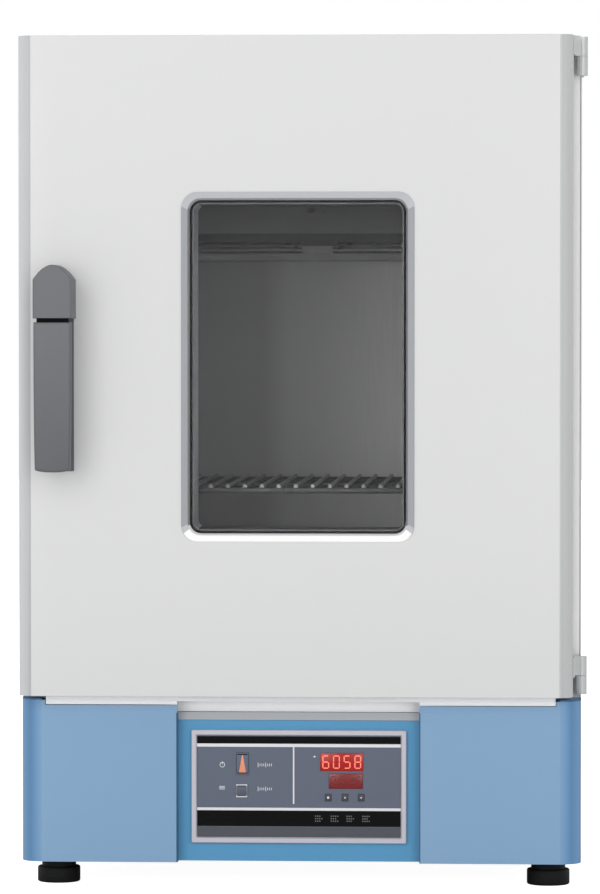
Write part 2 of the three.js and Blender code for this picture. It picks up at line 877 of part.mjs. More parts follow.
// The wire shelf: bars from front to back, laid on a frame of heavier wire
const shelfSide = 6.5;
const shelfFront = 40;
const shelfBack = 8;
const shelfWidth = chamberWidth - 2 * shelfSide;
const shelfDepth = chamberDepth - shelfBack - shelfFront;
const frameWire = 3.2;
const barWire = 2.2;
const barPitch = 18;
const wireSides = 6;
const shelfBottom = rackBottom + shelfLevel * ledgePitch + seat;
function wireShelf() {
  const half = shelfWidth / 2 - frameWire;
  const deep = shelfDepth / 2 - frameWire;
  const side = (x) => rod(frameWire, [x, -deep - frameWire, 0], [x, deep + frameWire, 0], wireSides);
  const cross = (y) => rod(frameWire, [-half, y, 0], [half, y, 0], wireSides);
  const count = Math.floor((2 * half - barPitch) / barPitch);
  const height = frameWire + barWire / 2;
  const bars = Array.from({ length: count }, (_, i) => {
    const x = (i - (count - 1) / 2) * barPitch;
    return rod(barWire, [x, -deep, height], [x, deep, height], wireSides);
  });
  return joined([side(-half), side(half), cross(-deep), cross(0), cross(deep), ...bars]);
}

const cabinet = new THREE.Group();
const shelfY = chamberDepth - shelfBack - shelfDepth / 2;
add(
  cabinet,
  piece("cabinet_shell", cabinetShell(), whitePaint),
  piece("front_frame", frontFrame(), whitePaint),
  piece("rear_panel", rearPanel(), whitePaint),
  piece("insulation_jacket", insulationJacket(), mineralWool),
  piece("insulation_rear", insulationRear(), mineralWool),
  piece("keeper", keeper(), steel),
  piece("fan_motor", fanMotor(), darkSteel),
  piece("motor_cover", motorCover(), whitePaint),
  piece("vent_tube", ventTube(), steel, [ventX, 0, ventZ]),
  piece("vent_damper", ventDamper(), steel, [ventX, ventEnd - spindleBack, ventZ]),
);
const chamber = new THREE.Group();
add(
  chamber,
  piece("inner_chamber", innerChamber(), steel),
  piece("air_duct_cover", airDuctCover(), steel),
  piece("fan_wheel", fanWheel(), steel, [0, fanBack, fanZ]),
  piece("fan_shaft", fanShaft(), steel, [0, fanBack, fanZ]),
  piece("heating_element", heatingElement(), darkSteel, [0, elementY, fanZ]),
  piece("temperature_probe", temperatureProbe(), steel, [probeX, chamberDepth, probeZ]),
  piece("rack_left", shelfRack(-1), steel),
  piece("rack_right", shelfRack(1), steel),
  piece("wire_shelf", wireShelf(), steel, [0, shelfY, shelfBottom + frameWire]),
);
add(cabinet, chamber);
add(oven, cabinet);

// Controls: a plate in the base's recess, and a framed fascia with displays, switches, keys
const fasciaBorder = 6;
const frameProud = 4;
const panelThick = 1.5;
const upperDisplaySize = { x: 45, z: 25.9, width: 44.7, height: 18.6 };
const lowerDisplaySize = { x: 49.3, z: 5.8, width: 35.4, height: 15.5 };
const powerSwitchSize = { x: -59, z: 23.7, width: 12.6, height: 22.6 };
const fanSwitchSize = { x: -59.9, z: -4.7, width: 11.5, height: 13.5 };
const keySize = { z: -11.4, width: 6.4, height: 7.2 };
const keyPlaces = { set_key: 30.8, raise_key: 48.4, lower_key: 65.4 };
const displayProud = 0.4;
const boardStand = 10;
const boardThick = 1.6;
const boardInset = 4;
const switchWall = 1.1;
const switchProud = 0.8;
const switchBack = 9;
const switchFloor = 1.5;
const trunnionRadius = 0.8;
const trunnionRun = 0.2;
const rockerProud = 1.6;
const rockerDepth = 3;
const rockerClear = 0.4;
const rockerPivot = 1;
const keyProud = 1;
const keyTravel = 0.6;

const panelFront = -seat - panelThick;

function sized({ width, height }, grow, y0, y1) {
  return block(
    -width / 2 - grow, width / 2 + grow, y0, y1, -height / 2 - grow, height / 2 + grow,
  );
}

function placed(size, grow, y0, y1) {
  return sized(size, grow, y0, y1).translate([size.x, 0, size.z]);
}

function controlPlate() {
  const low = footHeight - fasciaZ;
  const plate = block(
    -recessHalf + seat, recessHalf - seat, 0, plateDepth, low + seat, plateTop - fasciaZ,
  );
  return plate.subtract(sized({ width: bodyWidth, height: bodyHeight }, 0, -overrun, plateDepth + overrun));
}

function recessTrim() {
  return block(
    -recessHalf + seat, recessHalf - seat, 0, plateDepth,
    plateTop + seat - fasciaZ, sillBottom - seat - fasciaZ,
  );
}

function fasciaFrame() {
  const outline = rounded(
    -fasciaWidth / 2, fasciaWidth / 2, -fasciaHeight / 2, fasciaHeight / 2, shellCorner,
  );
  const inner = { width: fasciaWidth - 2 * fasciaBorder, height: fasciaHeight - 2 * fasciaBorder };
  const ring = upright(outline, -seat - frameProud, -seat, shellSteps);
  return ring.subtract(sized(inner, 0, -frameProud - overrun, overrun));
}

function fasciaPanel() {
  const inner = { width: fasciaWidth - 2 * fasciaBorder, height: fasciaHeight - 2 * fasciaBorder };
  const panel = sized(inner, -seat, panelFront, -seat);
  const through = [upperDisplaySize, lowerDisplaySize, powerSwitchSize, fanSwitchSize];
  const keys = Object.values(keyPlaces).map((x) => ({ ...keySize, x }));
  return cutBy(
    panel, [...through, ...keys].map((size) => placed(size, seat, -frameProud - overrun, overrun)),
  );
}

function display(size) {
  return sized(size, 0, panelFront - displayProud, boardStand - seat);
}

// A switch body: a short frame with a floor, in which the rocker sits on two trunnions
function switchFrame(size) {
  const front = panelFront - switchProud;
  const inside = sized(size, -switchWall, front - overrun, switchBack - switchFloor);
  const holes = rod(
    trunnionRadius + trunnionRun, [-size.width, rockerPivot, 0], [size.width, rockerPivot, 0], smallSides,
  );
  return cutBy(sized(size, 0, front, switchBack), [inside, holes]);
}

function trunnions(size) {
  const reach = size.width / 2 - seat;
  return rod(trunnionRadius, [-reach, rockerPivot, 0], [reach, rockerPivot, 0], smallSides);
}

// The power rocker: a lit wedge, wide at the bottom
const wedgeWidth = 7.7;
const wedgeHeight = 18.4;
const wedgeTop = 0.6;
function powerRocker() {
  const front = panelFront - switchProud - rockerProud;
  const wedge = polygon([
    [-wedgeWidth / 2, -wedgeHeight / 2],
    [wedgeWidth / 2, -wedgeHeight / 2],
    [wedgeTop, wedgeHeight / 2],
    [-wedgeTop, wedgeHeight / 2],
  ]);
  return upright(wedge, front, rockerDepth).add(trunnions(powerSwitchSize));
}

// The fan rocker: a block whose face is bent along its middle
function fanRocker() {
  const front = panelFront - switchProud - rockerProud;
  const { width, height } = fanSwitchSize;
  const half = height / 2 - switchWall - rockerProud / 2;
  const side = polygon([
    [rockerDepth, -half],
    [rockerDepth, half],
    [front + rockerProud, half],
    [front + rockerProud / 2, 0],
    [front, -half],
  ]);
  const reach = width / 2 - switchWall - rockerClear;
  return sideways(side, -reach, reach).add(trunnions(fanSwitchSize));
}

function keyCap() {
  const stem = boardStand - seat - keyTravel;
  return sized(keySize, 0, panelFront - keyProud, stem);
}

// The board behind the fascia, with a row of terminals and a transformer on its back
const terminalCount = 8;
const terminalPitch = 12;
const terminalSize = 8;
const transformerSize = 26;
function controlBoard() {
  const y0 = boardStand;
  const size = { width: bodyWidth - 2 * boardInset, height: bodyHeight - 2 * boardInset };
  const board = sized(size, 0, y0, y0 + boardThick);
  const y1 = y0 + boardThick - seat;
  const low = -size.height / 2 + boardInset;
  const terminals = Array.from({ length: terminalCount }, (_, i) => {
    const x = (i - (terminalCount - 1) / 2) * terminalPitch;
    return block(
      x - terminalSize / 2, x + terminalSize / 2, y1, y1 + terminalSize, low, low + terminalSize,
    );
  });
  const transformer = block(
    -transformerSize / 2, transformerSize / 2, y1, y1 + transformerSize, 0, transformerSize,
  );
  return joined([board, transformer, ...terminals]);
}

// The relay that switches the heater, on the base's floor
const relaySize = { width: 45, depth: 60, height: 26 };
const relayPlate = 5;
const relayX = -120;
const relayY = 240;
function heaterRelay() {
  const { width, depth, height } = relaySize;
  const low = footHeight + sheet + seat;
  const heatSink = block(
    -width / 2 - relayPlate, width / 2 + relayPlate, -depth / 2, depth / 2, low, low + relayPlate,
  );
  return heatSink.add(block(-width / 2, width / 2, -depth / 2, depth / 2, low, low + height));
}

const controls = new THREE.Group();
controls.position.set(recessX, baseFront + recessDepth, fasciaZ);
const at = ({ x, z }) => [x, 0, z];
add(
  controls,
  piece("control_plate", controlPlate(), deepBluePaint),
  piece("recess_trim", recessTrim(), steel),
  piece("fascia_frame", fasciaFrame(), silver),
  piece("fascia_panel", fasciaPanel(), panelGrey),
  piece("upper_display", display(upperDisplaySize), redDisplay, at(upperDisplaySize)),
  piece("lower_display", display(lowerDisplaySize), darkRedDisplay, at(lowerDisplaySize)),
  piece("power_switch_frame", switchFrame(powerSwitchSize), panelGrey, at(powerSwitchSize)),
  piece("power_rocker", powerRocker(), salmonLens, at(powerSwitchSize)),
  piece("fan_switch_frame", switchFrame(fanSwitchSize), silver, at(fanSwitchSize)),
  piece("fan_rocker", fanRocker(), panelGrey, at(fanSwitchSize)),
  piece("control_board", controlBoard(), boardGreen),
);
for (const [name, x] of Object.entries(keyPlaces)) {
  add(controls, piece(name, keyCap(), greyPlastic, [x, 0, keySize.z]));
}
add(base, controls, piece("heater_relay", heaterRelay(), blackPlastic, [relayX, relayY, 0]));

// Door: a folded outer skin, a pressed inner panel, wool between them and a double window
const doorCornerSteps = 6;
const plugDepth = 14;
const plugBack = doorBack + doorGap + plugDepth;
const plugClear = 10;
const plugSheet = 1.2;
const glassThick = 4;
const glassEdge = 2.5;
const bezelBorder = 8.5;
const bezelCorner = 17;
const bezelProud = 1.2;
const bezelWall = 1.5;
const bezelSlope = 5.5;
const bezelSleeve = 3.5;
const innerEdge = 4;
const spacerSheet = 1.5;
const gasketWidth = 14;
const gasketInset = 5;
const armWidth = 6;
const armHeight = 6;
const doorCentreX = (doorLeft + doorRight) / 2;
const doorCentreZ = (doorTop + doorBottom) / 2;
const sleeveWidth = windowWidth + 2 * bezelSleeve;
const sleeveHeight = windowHeight + 2 * bezelSleeve;
const holeClear = 1;
const latchPocket = 14;

function doorOutline(inset, back) {
  const half = doorWidth / 2 - inset;
  const radius = Math.max(doorEdgeRadius - inset, seat);
  const front = doorFront + inset;
  const outline = new THREE.Shape();
  outline.moveTo(-half, back);
  outline.lineTo(-half, front + radius);
  outline.absarc(-half + radius, front + radius, radius, Math.PI, 1.5 * Math.PI, false);
  outline.absarc(half - radius, front + radius, radius, -Math.PI / 2, 0, false);
  outline.lineTo(half, back);
  outline.closePath();
  return outline;
}

function doorBody(inset, back, spare = 0) {
  const half = doorHeight / 2 - inset;
  return flat(doorOutline(inset, back), -half, half + spare, doorCornerSteps);
}

// A straight way through the door behind the window, between two values of y
function windowWay(grow, y0, y1) {
  const dx = windowX - doorCentreX;
  const dz = windowZ - doorCentreZ;
  const outline = rounded(
    dx - sleeveWidth / 2 - grow, dx + sleeveWidth / 2 + grow,
    dz - sleeveHeight / 2 - grow, dz + sleeveHeight / 2 + grow,
    windowCorner + bezelSleeve + grow,
  );
  return upright(outline, y0, y1);
}

// The hole in the skin and the handle's back plate that the lever's arm works in
function armHole(y0, y1, grow) {
  const drop = (armReach + armHeight) * Math.sin(leverAngle);
  return block(
    handleX - armWidth / 2 - grow, handleX + armWidth / 2 + grow, y0, y1,
    pivotZ - armHeight / 2 - drop - grow, pivotZ + armHeight / 2 + grow,
  );
}

const toDoor = (made) => made.translate([-doorCentreX, 0, -doorCentreZ]);

function doorSkin() {
  const inside = doorBody(sheet, doorBack + overrun);
  const hole = windowWay(holeClear, doorFront - overrun, doorFront + 2 * overrun);
  const lever = toDoor(armHole(doorFront - overrun, doorFront + overrun, holeClear));
  return cutBy(doorBody(0, doorBack), [inside, hole, lever]);
}

function plug(inset, y0, y1) {
  const half = chamberHalf - plugClear - inset;
  const tall = chamberHeight / 2 - plugClear - inset;
  const z = (chamberTop + chamberBottom) / 2;
  return toDoor(upright(rounded(-half, half, z - tall, z + tall, chamberCorner), y0, y1));
}

// The inner panel closes the skin from behind and stands into the chamber's mouth
function doorInnerPanel() {
  const half = doorWidth / 2 - sheet - seat;
  const tall = doorHeight / 2 - sheet - seat;
  const panel = block(-half, half, doorBack - sheet, doorBack, -tall, tall);
  const rear = plugBack;
  const raised = plug(0, doorBack - seat, rear);
  const hollow = plug(plugSheet, doorBack - sheet - overrun, rear - plugSheet);
  const view = windowWay(-glassEdge - innerEdge, rear - 2 * overrun, rear + overrun);
  const latch = toDoor(latchSlot(doorBack - sheet - overrun, doorBack + overrun, 0));
  return cutBy(panel.add(raised), [hollow, view, latch]);
}

function doorInsulation() {
  const inset = sheet + seat;
  const back = doorBack - sheet - seat;
  const rear = plugBack - plugSheet - seat;
  const core = plug(plugSheet + seat, doorBack - sheet - 2 * seat, rear);
  const tunnel = windowWay(holeClear + seat, doorFront - overrun, rear + overrun);
  const pocket = toDoor(
    block(
      latchX - latchPocket, handleX + latchPocket, doorFront - overrun, back + overrun,
      pivotZ - latchRise - latchTravel - latchPocket, keeperSlotTop + latchPocket,
    ),
  );
  return cutBy(doorBody(inset, back).add(core), [tunnel, pocket]);
}

function ring(outer, inner, y0, y1) {
  return lofted([
    { ...outer, y: y0 },
    { ...outer, y: y1 },
    { ...inner, y: y1 },
    { ...inner, y: y0 },
  ]);
}

function grownWindow(by) {
  return {
    width: windowWidth + 2 * by,
    height: windowHeight + 2 * by,
    radius: windowCorner + by,
  };
}

// The bezel: a lip on the skin's face and a slope that runs in to the glass
function windowBezel() {
  const rim = { ...grownWindow(bezelBorder), radius: bezelCorner };
  const face = { ...rim, width: rim.width - bezelProud, height: rim.height - bezelProud };
  const lip = grownWindow(bezelSleeve - bezelWall);
  const sleeve = grownWindow(bezelSleeve);
  return lofted([
    { ...rim, y: doorFront - seat },
    { ...sleeve, y: doorFront - seat },
    { ...sleeve, y: doorFront + bezelSlope },
    { ...grownWindow(0), y: doorFront + bezelSlope },
    { ...lip, y: doorFront - seat - bezelProud },
    { ...face, y: doorFront - seat - bezelProud },
  ]);
}

const outerGlassY = doorFront + bezelSlope + seat;
const innerGlassY = plugBack - plugSheet - seat - glassThick;

function glassPane() {
  const { width, height, radius } = grownWindow(glassEdge);
  return upright(rounded(-width / 2, width / 2, -height / 2, height / 2, radius), 0, glassThick);
}

// The silver tunnel between the two panes
function windowSpacer() {
  const y0 = outerGlassY + glassThick + seat;
  return ring(grownWindow(spacerSheet - innerEdge), grownWindow(-innerEdge), y0, innerGlassY - seat);
}

function doorGasket() {
  const mouth = (by) => ({
    width: chamberWidth + 2 * by,
    height: chamberHeight + 2 * by,
    radius: chamberCorner + by,
  });
  return ring(mouth(gasketInset + gasketWidth), mouth(gasketInset), doorBack + seat, -seat);
}

// Handle: a capped back plate on the skin, and a grip that swings out on a pin in the cap
const slotGap = 4;
const capBottom = -6;
const capReach = 49;
const capWall = 2.5;
const archHeight = 15;
const backPlate = 2;
const backInset = 2;
const gripWidth = 38.4;
const gripThick = 18;
const gripTaper = 1;
const gripSag = 2.5;
const headWidth = 20;
const headFront = 3.5;
const headBack = 8;
const headTop = 6;
const pinRadius = 2;
const pinRun = 0.15;
const armPin = 2.5;
const armPinRun = 0.5;
const softEdge = 2.5;
const handleTop = handleBottom + handleHeight - pivotZ;
const handleLow = handleBottom - pivotZ;
const doorFace = doorFront - pivotY;
const gripTop = capBottom - slotGap;

function archOutline(inset, low) {
  const half = handleWidth / 2 - inset;
  const shoulder = handleTop - archHeight;
  const outline = new THREE.Shape();
  outline.moveTo(-half, low);
  outline.lineTo(half, low);
  outline.lineTo(half, shoulder);
  outline.absellipse(0, shoulder, half, archHeight - inset, 0, Math.PI, false, 0);
  outline.closePath();
  return outline;
}

// An upright outline whose front and back edges are rounded off
function softened(shape, y0, y1, bevel, steps = arcSteps) {
  const geometry = new THREE.ExtrudeGeometry(shape, {
    depth: y1 - y0 - 2 * bevel,
    bevelThickness: bevel,
    bevelSize: bevel,
    bevelOffset: -bevel,
    bevelSegments: 2,
    curveSegments: steps,
  });
  geometry.applyMatrix4(new THREE.Matrix4().makeBasis(X, Z, Y.clone().negate()));
  geometry.translate(0, y1 - bevel, 0);
  return solid(geometry);
}

function handleHousing() {
  const front = doorFace - capReach;
  const back = doorFace - seat;
  const cap = softened(archOutline(0, capBottom), front, back + softEdge, softEdge, 2 * arcSteps)
    .subtract(block(-handleWidth, handleWidth, back, back + 2 * softEdge, handleLow, 2 * handleTop));
  const plate = upright(archOutline(backInset, handleLow), back - backPlate, back, 2 * arcSteps);
  const cavity = block(
    -handleWidth / 2 + capWall, handleWidth / 2 - capWall, front + capWall, back - backPlate,
    capBottom - overrun, handleTop - archHeight,
  );
  const pin = rod(
    pinRadius + pinRun, [-handleWidth / 2 + capWall / 2, 0, 0], [handleWidth / 2 - capWall / 2, 0, 0],
  );
  const arm = armHole(doorFront - 2 * backPlate, doorFront + overrun, holeClear)
    .translate([-handleX, -pivotY, -pivotZ]);
  return cutBy(cap.subtract(cavity).add(plate), [pin, arm]);
}

function leverPin() {
  const reach = handleWidth / 2 - capWall / 2 - seat;
  return rod(pinRadius, [-reach, 0, 0], [reach, 0, 0]);
}

function gripOutline() {
  const half = gripWidth / 2;
  const low = handleLow + gripSag;
  const outline = new THREE.Shape();
  outline.moveTo(-half, gripTop);
  outline.lineTo(-half + gripTaper, low);
  outline.quadraticCurveTo(0, low - 2 * gripSag, half - gripTaper, low);
  outline.lineTo(half, gripTop);
  outline.closePath();
  return outline;
}

function handleLever() {
  const grip = softened(gripOutline(), -pivotInset, gripThick - pivotInset, softEdge);
  const head = block(
    -headWidth / 2, headWidth / 2, -headFront, headBack, gripTop - softEdge, headTop,
  );
  const arm = block(
    -armWidth / 2, armWidth / 2, headBack - seat, armReach + armHeight / 2, -armHeight / 2, armHeight / 2,
  );
  const tip = rod(armPin, [-latchSide - latchThick, armReach, 0], [0, armReach, 0], smallSides);
  const bore = rod(pinRadius + pinRun, [-headWidth, 0, 0], [headWidth, 0, 0]);
  return joined([grip, head, arm, tip]).subtract(bore);
}

// The latch bar: slotted for the lever's tip, with a tongue and an upturned nose at the back
function latchBar() {
  const front = armReach - headBack;
  const back = armReach + headBack;
  const end = noseBack - pivotY;
  const behindKeeper = -seat / 2 - pivotY + noseClear;
  const tongueLow = latchRise;
  const tongue = latchRise + latchHeight;
  const outline = polygon([
    [front, -latchRise],
    [back, -latchRise],
    [back, tongueLow],
    [end, tongueLow],
    [end, tongue + noseRise / 2],
    [end - noseRise, tongue + noseRise],
    [behindKeeper, tongue + noseRise],
    [behindKeeper, tongue],
    [front, tongue],
  ]);
  const bar = sideways(outline, -latchSide - latchThick / 2, -latchSide + latchThick / 2);
  const reach = armPin + armPinRun;
  const slide = armReach * (1 - Math.cos(leverAngle));
  const slot = block(
    -latchSide - latchThick, -latchSide + latchThick,
    armReach - slide - reach, armReach + reach, -reach, reach,
  );
  return bar.subtract(slot);
}

// Hinges: a leaf and a knuckle on the cabinet's side, with its pin, and the same on the door
const hingeHeight = 40;
const hingeRadius = 6;
const hingePin = 2.5;
const hingePinRun = 0.05;
const hingeForward = 8;
const leafThick = 2;
const leafDepth = 38;
const hingeY = -hingeForward;
const hingeX = shellHalf;

function cabinetHinge() {
  const top = hingeHeight / 2 - seat;
  const leaf = block(seat, seat + leafThick, hingeForward + sheet, hingeForward + leafDepth, 0, top);
  const arm = block(seat, hingeRadius - seat, 0, hingeForward + 2 * sheet, 0, top);
  const knuckle = rod(hingeRadius, [0, 0, 0], [0, 0, top]);
  const clear = block(-hingeRadius, seat, hingeForward - seat, 2 * leafDepth, -overrun, hingeHeight);
  const pin = rod(hingePin, [0, 0, top - seat], [0, 0, hingeHeight - 2 * sheet]);
  return joined([leaf, arm, knuckle]).subtract(clear).add(pin);
}

function doorHinge() {
  const low = hingeHeight / 2;
  const doorEdge = doorRight - hingeX;
  const leaf = block(
    doorEdge + seat, doorEdge + seat + leafThick, -leafDepth, hingeRadius / 2, low, hingeHeight,
  );
  const arm = block(doorEdge + seat, 0, -hingeRadius + seat, -seat, low, hingeHeight);
  const knuckle = rod(hingeRadius, [0, 0, low], [0, 0, hingeHeight]);
  const bore = rod(hingePin + hingePinRun, [0, 0, 0], [0, 0, hingeHeight - sheet]);
  return joined([leaf, arm, knuckle]).subtract(bore);
}

const door = new THREE.Group();
door.position.set(doorCentreX, 0, doorCentreZ);
const glazing = new THREE.Group();
glazing.position.set(windowX - doorCentreX, 0, windowZ - doorCentreZ);
add(
  glazing,
  piece("window_bezel", windowBezel(), silver),
  piece("outer_glass", glassPane(), glassFinish, [0, outerGlassY, 0]),
  piece("window_spacer", windowSpacer(), steel),
  piece("inner_glass", glassPane(), glassFinish, [0, innerGlassY, 0]),
);
const gasketZ = (chamberTop + chamberBottom) / 2;
add(
  door,
  glazing,
  piece("door_skin", doorSkin(), whitePaint),
  piece("door_inner_panel", doorInnerPanel(), whitePaint),
  piece("door_insulation", doorInsulation(), mineralWool),
  piece("door_gasket", doorGasket(), siliconeRubber, [-doorCentreX, 0, gasketZ - doorCentreZ]),
);
const handle = new THREE.Group();
handle.position.set(handleX, pivotY, pivotZ);
add(
  handle,
  piece("handle_housing", handleHousing(), greyPlastic),
  piece("handle_lever", handleLever(), greyPlastic),
  piece("lever_pin", leverPin(), steel),
  piece("latch_bar", latchBar(), steel),
);
const hinges = new THREE.Group();
hinges.position.set(hingeX, hingeY, 0);
const hingeLevels = { upper: doorTop - hingeHeight, lower: doorBottom };
for (const [level, z] of Object.entries(hingeLevels)) {
  add(
    hinges,
    piece(`hinge_${level}_cabinet`, cabinetHinge(), steel, [0, 0, z]),
    piece(`hinge_${level}_door`, doorHinge(), steel, [0, 0, z]),
  );
}
add(oven, door, handle, hinges);

// The finished part stands with its origin in the middle of its box, on the floor
const boxLeft = -shellHalf;
const boxRight = hingeX + hingeRadius;
const boxFront = doorFront - handleReach;
const boxBack = shellDepth + seat + coverDepth;
oven.position.set(-(boxLeft + boxRight) / 2, -(boxFront + boxBack) / 2, 0);

const part = new THREE.Group();
part.add(oven);

export default part;
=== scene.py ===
"""A bench drying oven: white steel cabinet, glazed door with a pull handle, blue base with controls."""
import math

import bmesh
import bpy
from mathutils import Matrix, Vector


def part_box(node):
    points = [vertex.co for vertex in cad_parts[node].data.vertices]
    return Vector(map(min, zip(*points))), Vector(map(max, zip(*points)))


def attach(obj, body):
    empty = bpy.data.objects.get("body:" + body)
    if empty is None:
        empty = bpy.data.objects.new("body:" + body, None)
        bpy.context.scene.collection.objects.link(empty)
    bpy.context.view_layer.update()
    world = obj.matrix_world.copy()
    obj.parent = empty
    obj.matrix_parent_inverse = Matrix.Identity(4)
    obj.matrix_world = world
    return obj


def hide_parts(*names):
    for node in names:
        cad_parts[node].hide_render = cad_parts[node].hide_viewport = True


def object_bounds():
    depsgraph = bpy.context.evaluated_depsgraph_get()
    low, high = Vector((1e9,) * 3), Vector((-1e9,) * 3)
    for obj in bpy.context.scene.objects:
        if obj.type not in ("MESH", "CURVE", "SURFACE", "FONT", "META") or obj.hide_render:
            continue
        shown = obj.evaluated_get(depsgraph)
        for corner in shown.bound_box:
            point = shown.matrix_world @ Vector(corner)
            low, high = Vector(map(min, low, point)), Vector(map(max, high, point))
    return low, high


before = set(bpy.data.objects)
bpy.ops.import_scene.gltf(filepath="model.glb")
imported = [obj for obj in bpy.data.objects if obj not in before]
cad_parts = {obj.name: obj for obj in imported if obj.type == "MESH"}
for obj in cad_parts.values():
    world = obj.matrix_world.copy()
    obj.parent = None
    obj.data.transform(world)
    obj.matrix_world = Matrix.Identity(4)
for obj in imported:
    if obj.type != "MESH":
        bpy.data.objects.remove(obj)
cad_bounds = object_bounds()

# Camera
# A long lens some metres in front, a little to the right of the oven and a little above its
# middle, so that its edges stay upright and the wall of the window shows on the left.
VIEW_DISTANCE = 5.0
VIEW_AZIMUTH = math.radians(3.0)
VIEW_ELEVATION = math.radians(1.6)
METRES_PER_PIXEL = 0.001037
PICTURE_WIDTH = 600
SENSOR = 36.0
AIM_SIDE = -0.0018
AIM_DEPTH = 0.05
AIM_HEIGHT = 0.4624


def placed(name, data):
    """A new object in the scene."""
    made = bpy.data.objects.new(name, data)
    bpy.context.scene.collection.objects.link(made)
    return made


aim = Vector((AIM_SIDE, cad_bounds[0][1] + AIM_DEPTH, AIM_HEIGHT))
camera_data = bpy.data.cameras.new("camera")
camera_data.sensor_fit = "HORIZONTAL"
camera_data.sensor_width = SENSOR
camera_data.lens = SENSOR * VIEW_DISTANCE / METRES_PER_PIXEL / PICTURE_WIDTH
camera = placed("camera", camera_data)
camera.location = aim + VIEW_DISTANCE * Vector((
    math.sin(VIEW_AZIMUTH) * math.cos(VIEW_ELEVATION),
    -math.cos(VIEW_AZIMUTH) * math.cos(VIEW_ELEVATION),
    math.sin(VIEW_ELEVATION),
))
camera.rotation_euler = (aim - camera.location).to_track_quat("-Z", "Y").to_euler()
bpy.context.scene.camera = camera

# Studio
# Soft lamps in front, one behind, and a pale world. The camera sees the world and the floor as
# white, also through glass, glossy surfaces mirror a white world, and the floor keeps a shadow.
LAMPS = [
    # place, size, watts
    ((-1.8, -4.8, 2.5), 2.4, 41.0),
    ((1.7, -4.8, 2.3), 2.4, 26.0),
    ((-2.4, -4.9, 0.5), 2.4, 40.0),
    ((2.5, -4.9, 0.5), 2.4, 42.0),
    ((0.0, 3.8, 3.2), 2.4, 60.0),
]
LAMP_AIM = Vector((0, 0, 0.45))
WORLD_LEVEL = 0.52
SEEN_LEVEL = 1.0
for place, size, watts in LAMPS:
    lamp_data = bpy.data.lights.new("lamp", "AREA")
    lamp_data.size = size
    lamp_data.energy = watts
    lamp = placed("lamp", lamp_data)
    lamp.location = place
    lamp.rotation_euler = (LAMP_AIM - lamp.location).to_track_quat("-Z", "Y").to_euler()
bpy.context.scene.view_settings.view_transform = "Standard"


def preset(node, values):
    """Sets a node's inputs to plain values."""
    for name, value in values.items():
        node.inputs[name].default_value = value


def math_node(tree, operation, *inputs):
    """Works on sockets and plain numbers, and gives the socket with the outcome."""
    made = tree.nodes.new("ShaderNodeMath")
    made.operation = operation
    for socket, value in zip(made.inputs, inputs):
        if isinstance(value, bpy.types.NodeSocket):
            tree.links.new(value, socket)
        else:
            socket.default_value = value
    return made.outputs[0]


def seen_ray(tree, mirrored):
    """A socket that is 1 for rays from the camera and through glass, and from gloss if mirrored."""
    path = tree.nodes.new("ShaderNodeLightPath")
    seen = math_node(tree, "MAXIMUM", path.outputs["Is Camera Ray"], path.outputs["Is Transmission Ray"])
    return math_node(tree, "MAXIMUM", seen, path.outputs["Is Glossy Ray"]) if mirrored else seen


world = bpy.data.worlds.new("studio")
bpy.context.scene.world = world
world.use_nodes = True
sky = world.node_tree
sky.nodes.clear()
sky_mix = sky.nodes.new("ShaderNodeMixShader")
sky.links.new(seen_ray(sky, True), sky_mix.inputs["Fac"])
for position, strength in ((1, WORLD_LEVEL), (2, SEEN_LEVEL)):
    shade = sky.nodes.new("ShaderNodeBackground")
    preset(shade, {"Color": (1, 1, 1, 1), "Strength": strength})
    sky.links.new(shade.outputs[0], sky_mix.inputs[position])
sky_out = sky.nodes.new("ShaderNodeOutputWorld")
sky.links.new(sky_mix.outputs[0], sky_out.inputs["Surface"])

FLOOR_REACH = 12.0
FLOOR_SHADE = 0.9
FLOOR_GLOW = 0.95
GLOW_FROM = 0.7
GLOW_TO = 2.4
floor_mesh = bpy.data.meshes.new("floor")
floor_bm = bmesh.new()
bmesh.ops.create_grid(floor_bm, x_segments=1, y_segments=1, size=FLOOR_REACH)
floor_bm.to_mesh(floor_mesh)
floor_bm.free()
floor = placed("floor", floor_mesh)


def new_look(name):
    """A material with its nodes on, its node tree and its shader."""
    look = bpy.data.materials.new(name)
    look.use_nodes = True
    return look, look.node_tree, look.node_tree.nodes["Principled BSDF"]


floor_look, floor_tree, floor_shader = new_look("floor")
preset(floor_shader, {
    "Base Color": (FLOOR_SHADE, FLOOR_SHADE, FLOOR_SHADE, 1),
    "Roughness": 1.0,
    "Emission Color": (1, 1, 1, 1),
})
floor_place = floor_tree.nodes.new("ShaderNodeTexCoord")
floor_far = floor_tree.nodes.new("ShaderNodeVectorMath")
floor_far.operation = "LENGTH"
floor_tree.links.new(floor_place.outputs["Object"], floor_far.inputs[0])
spread = floor_tree.nodes.new("ShaderNodeMapRange")
preset(spread, {"From Min": GLOW_FROM, "From Max": GLOW_TO, "To Min": FLOOR_GLOW})
floor_tree.links.new(floor_far.outputs["Value"], spread.inputs["Value"])
glow = math_node(floor_tree, "MULTIPLY", seen_ray(floor_tree, False), spread.outputs["Result"])
floor_tree.links.new(glow, floor_shader.inputs["Emission Strength"])
floor.data.materials.append(floor_look)

# Feet
# Four moulded black rubber feet: a flat flange that meets the bench and a neck above it,
# each screwed up into the base floor.


def linear(red, green, blue):
    """A colour as a camera records it, 0 to 255, in scene values."""
    shares = [c / 255 for c in (red, green, blue)]
    return tuple(((s + 0.055) / 1.055) ** 2.4 if s > 0.04 else s / 12.92 for s in shares)


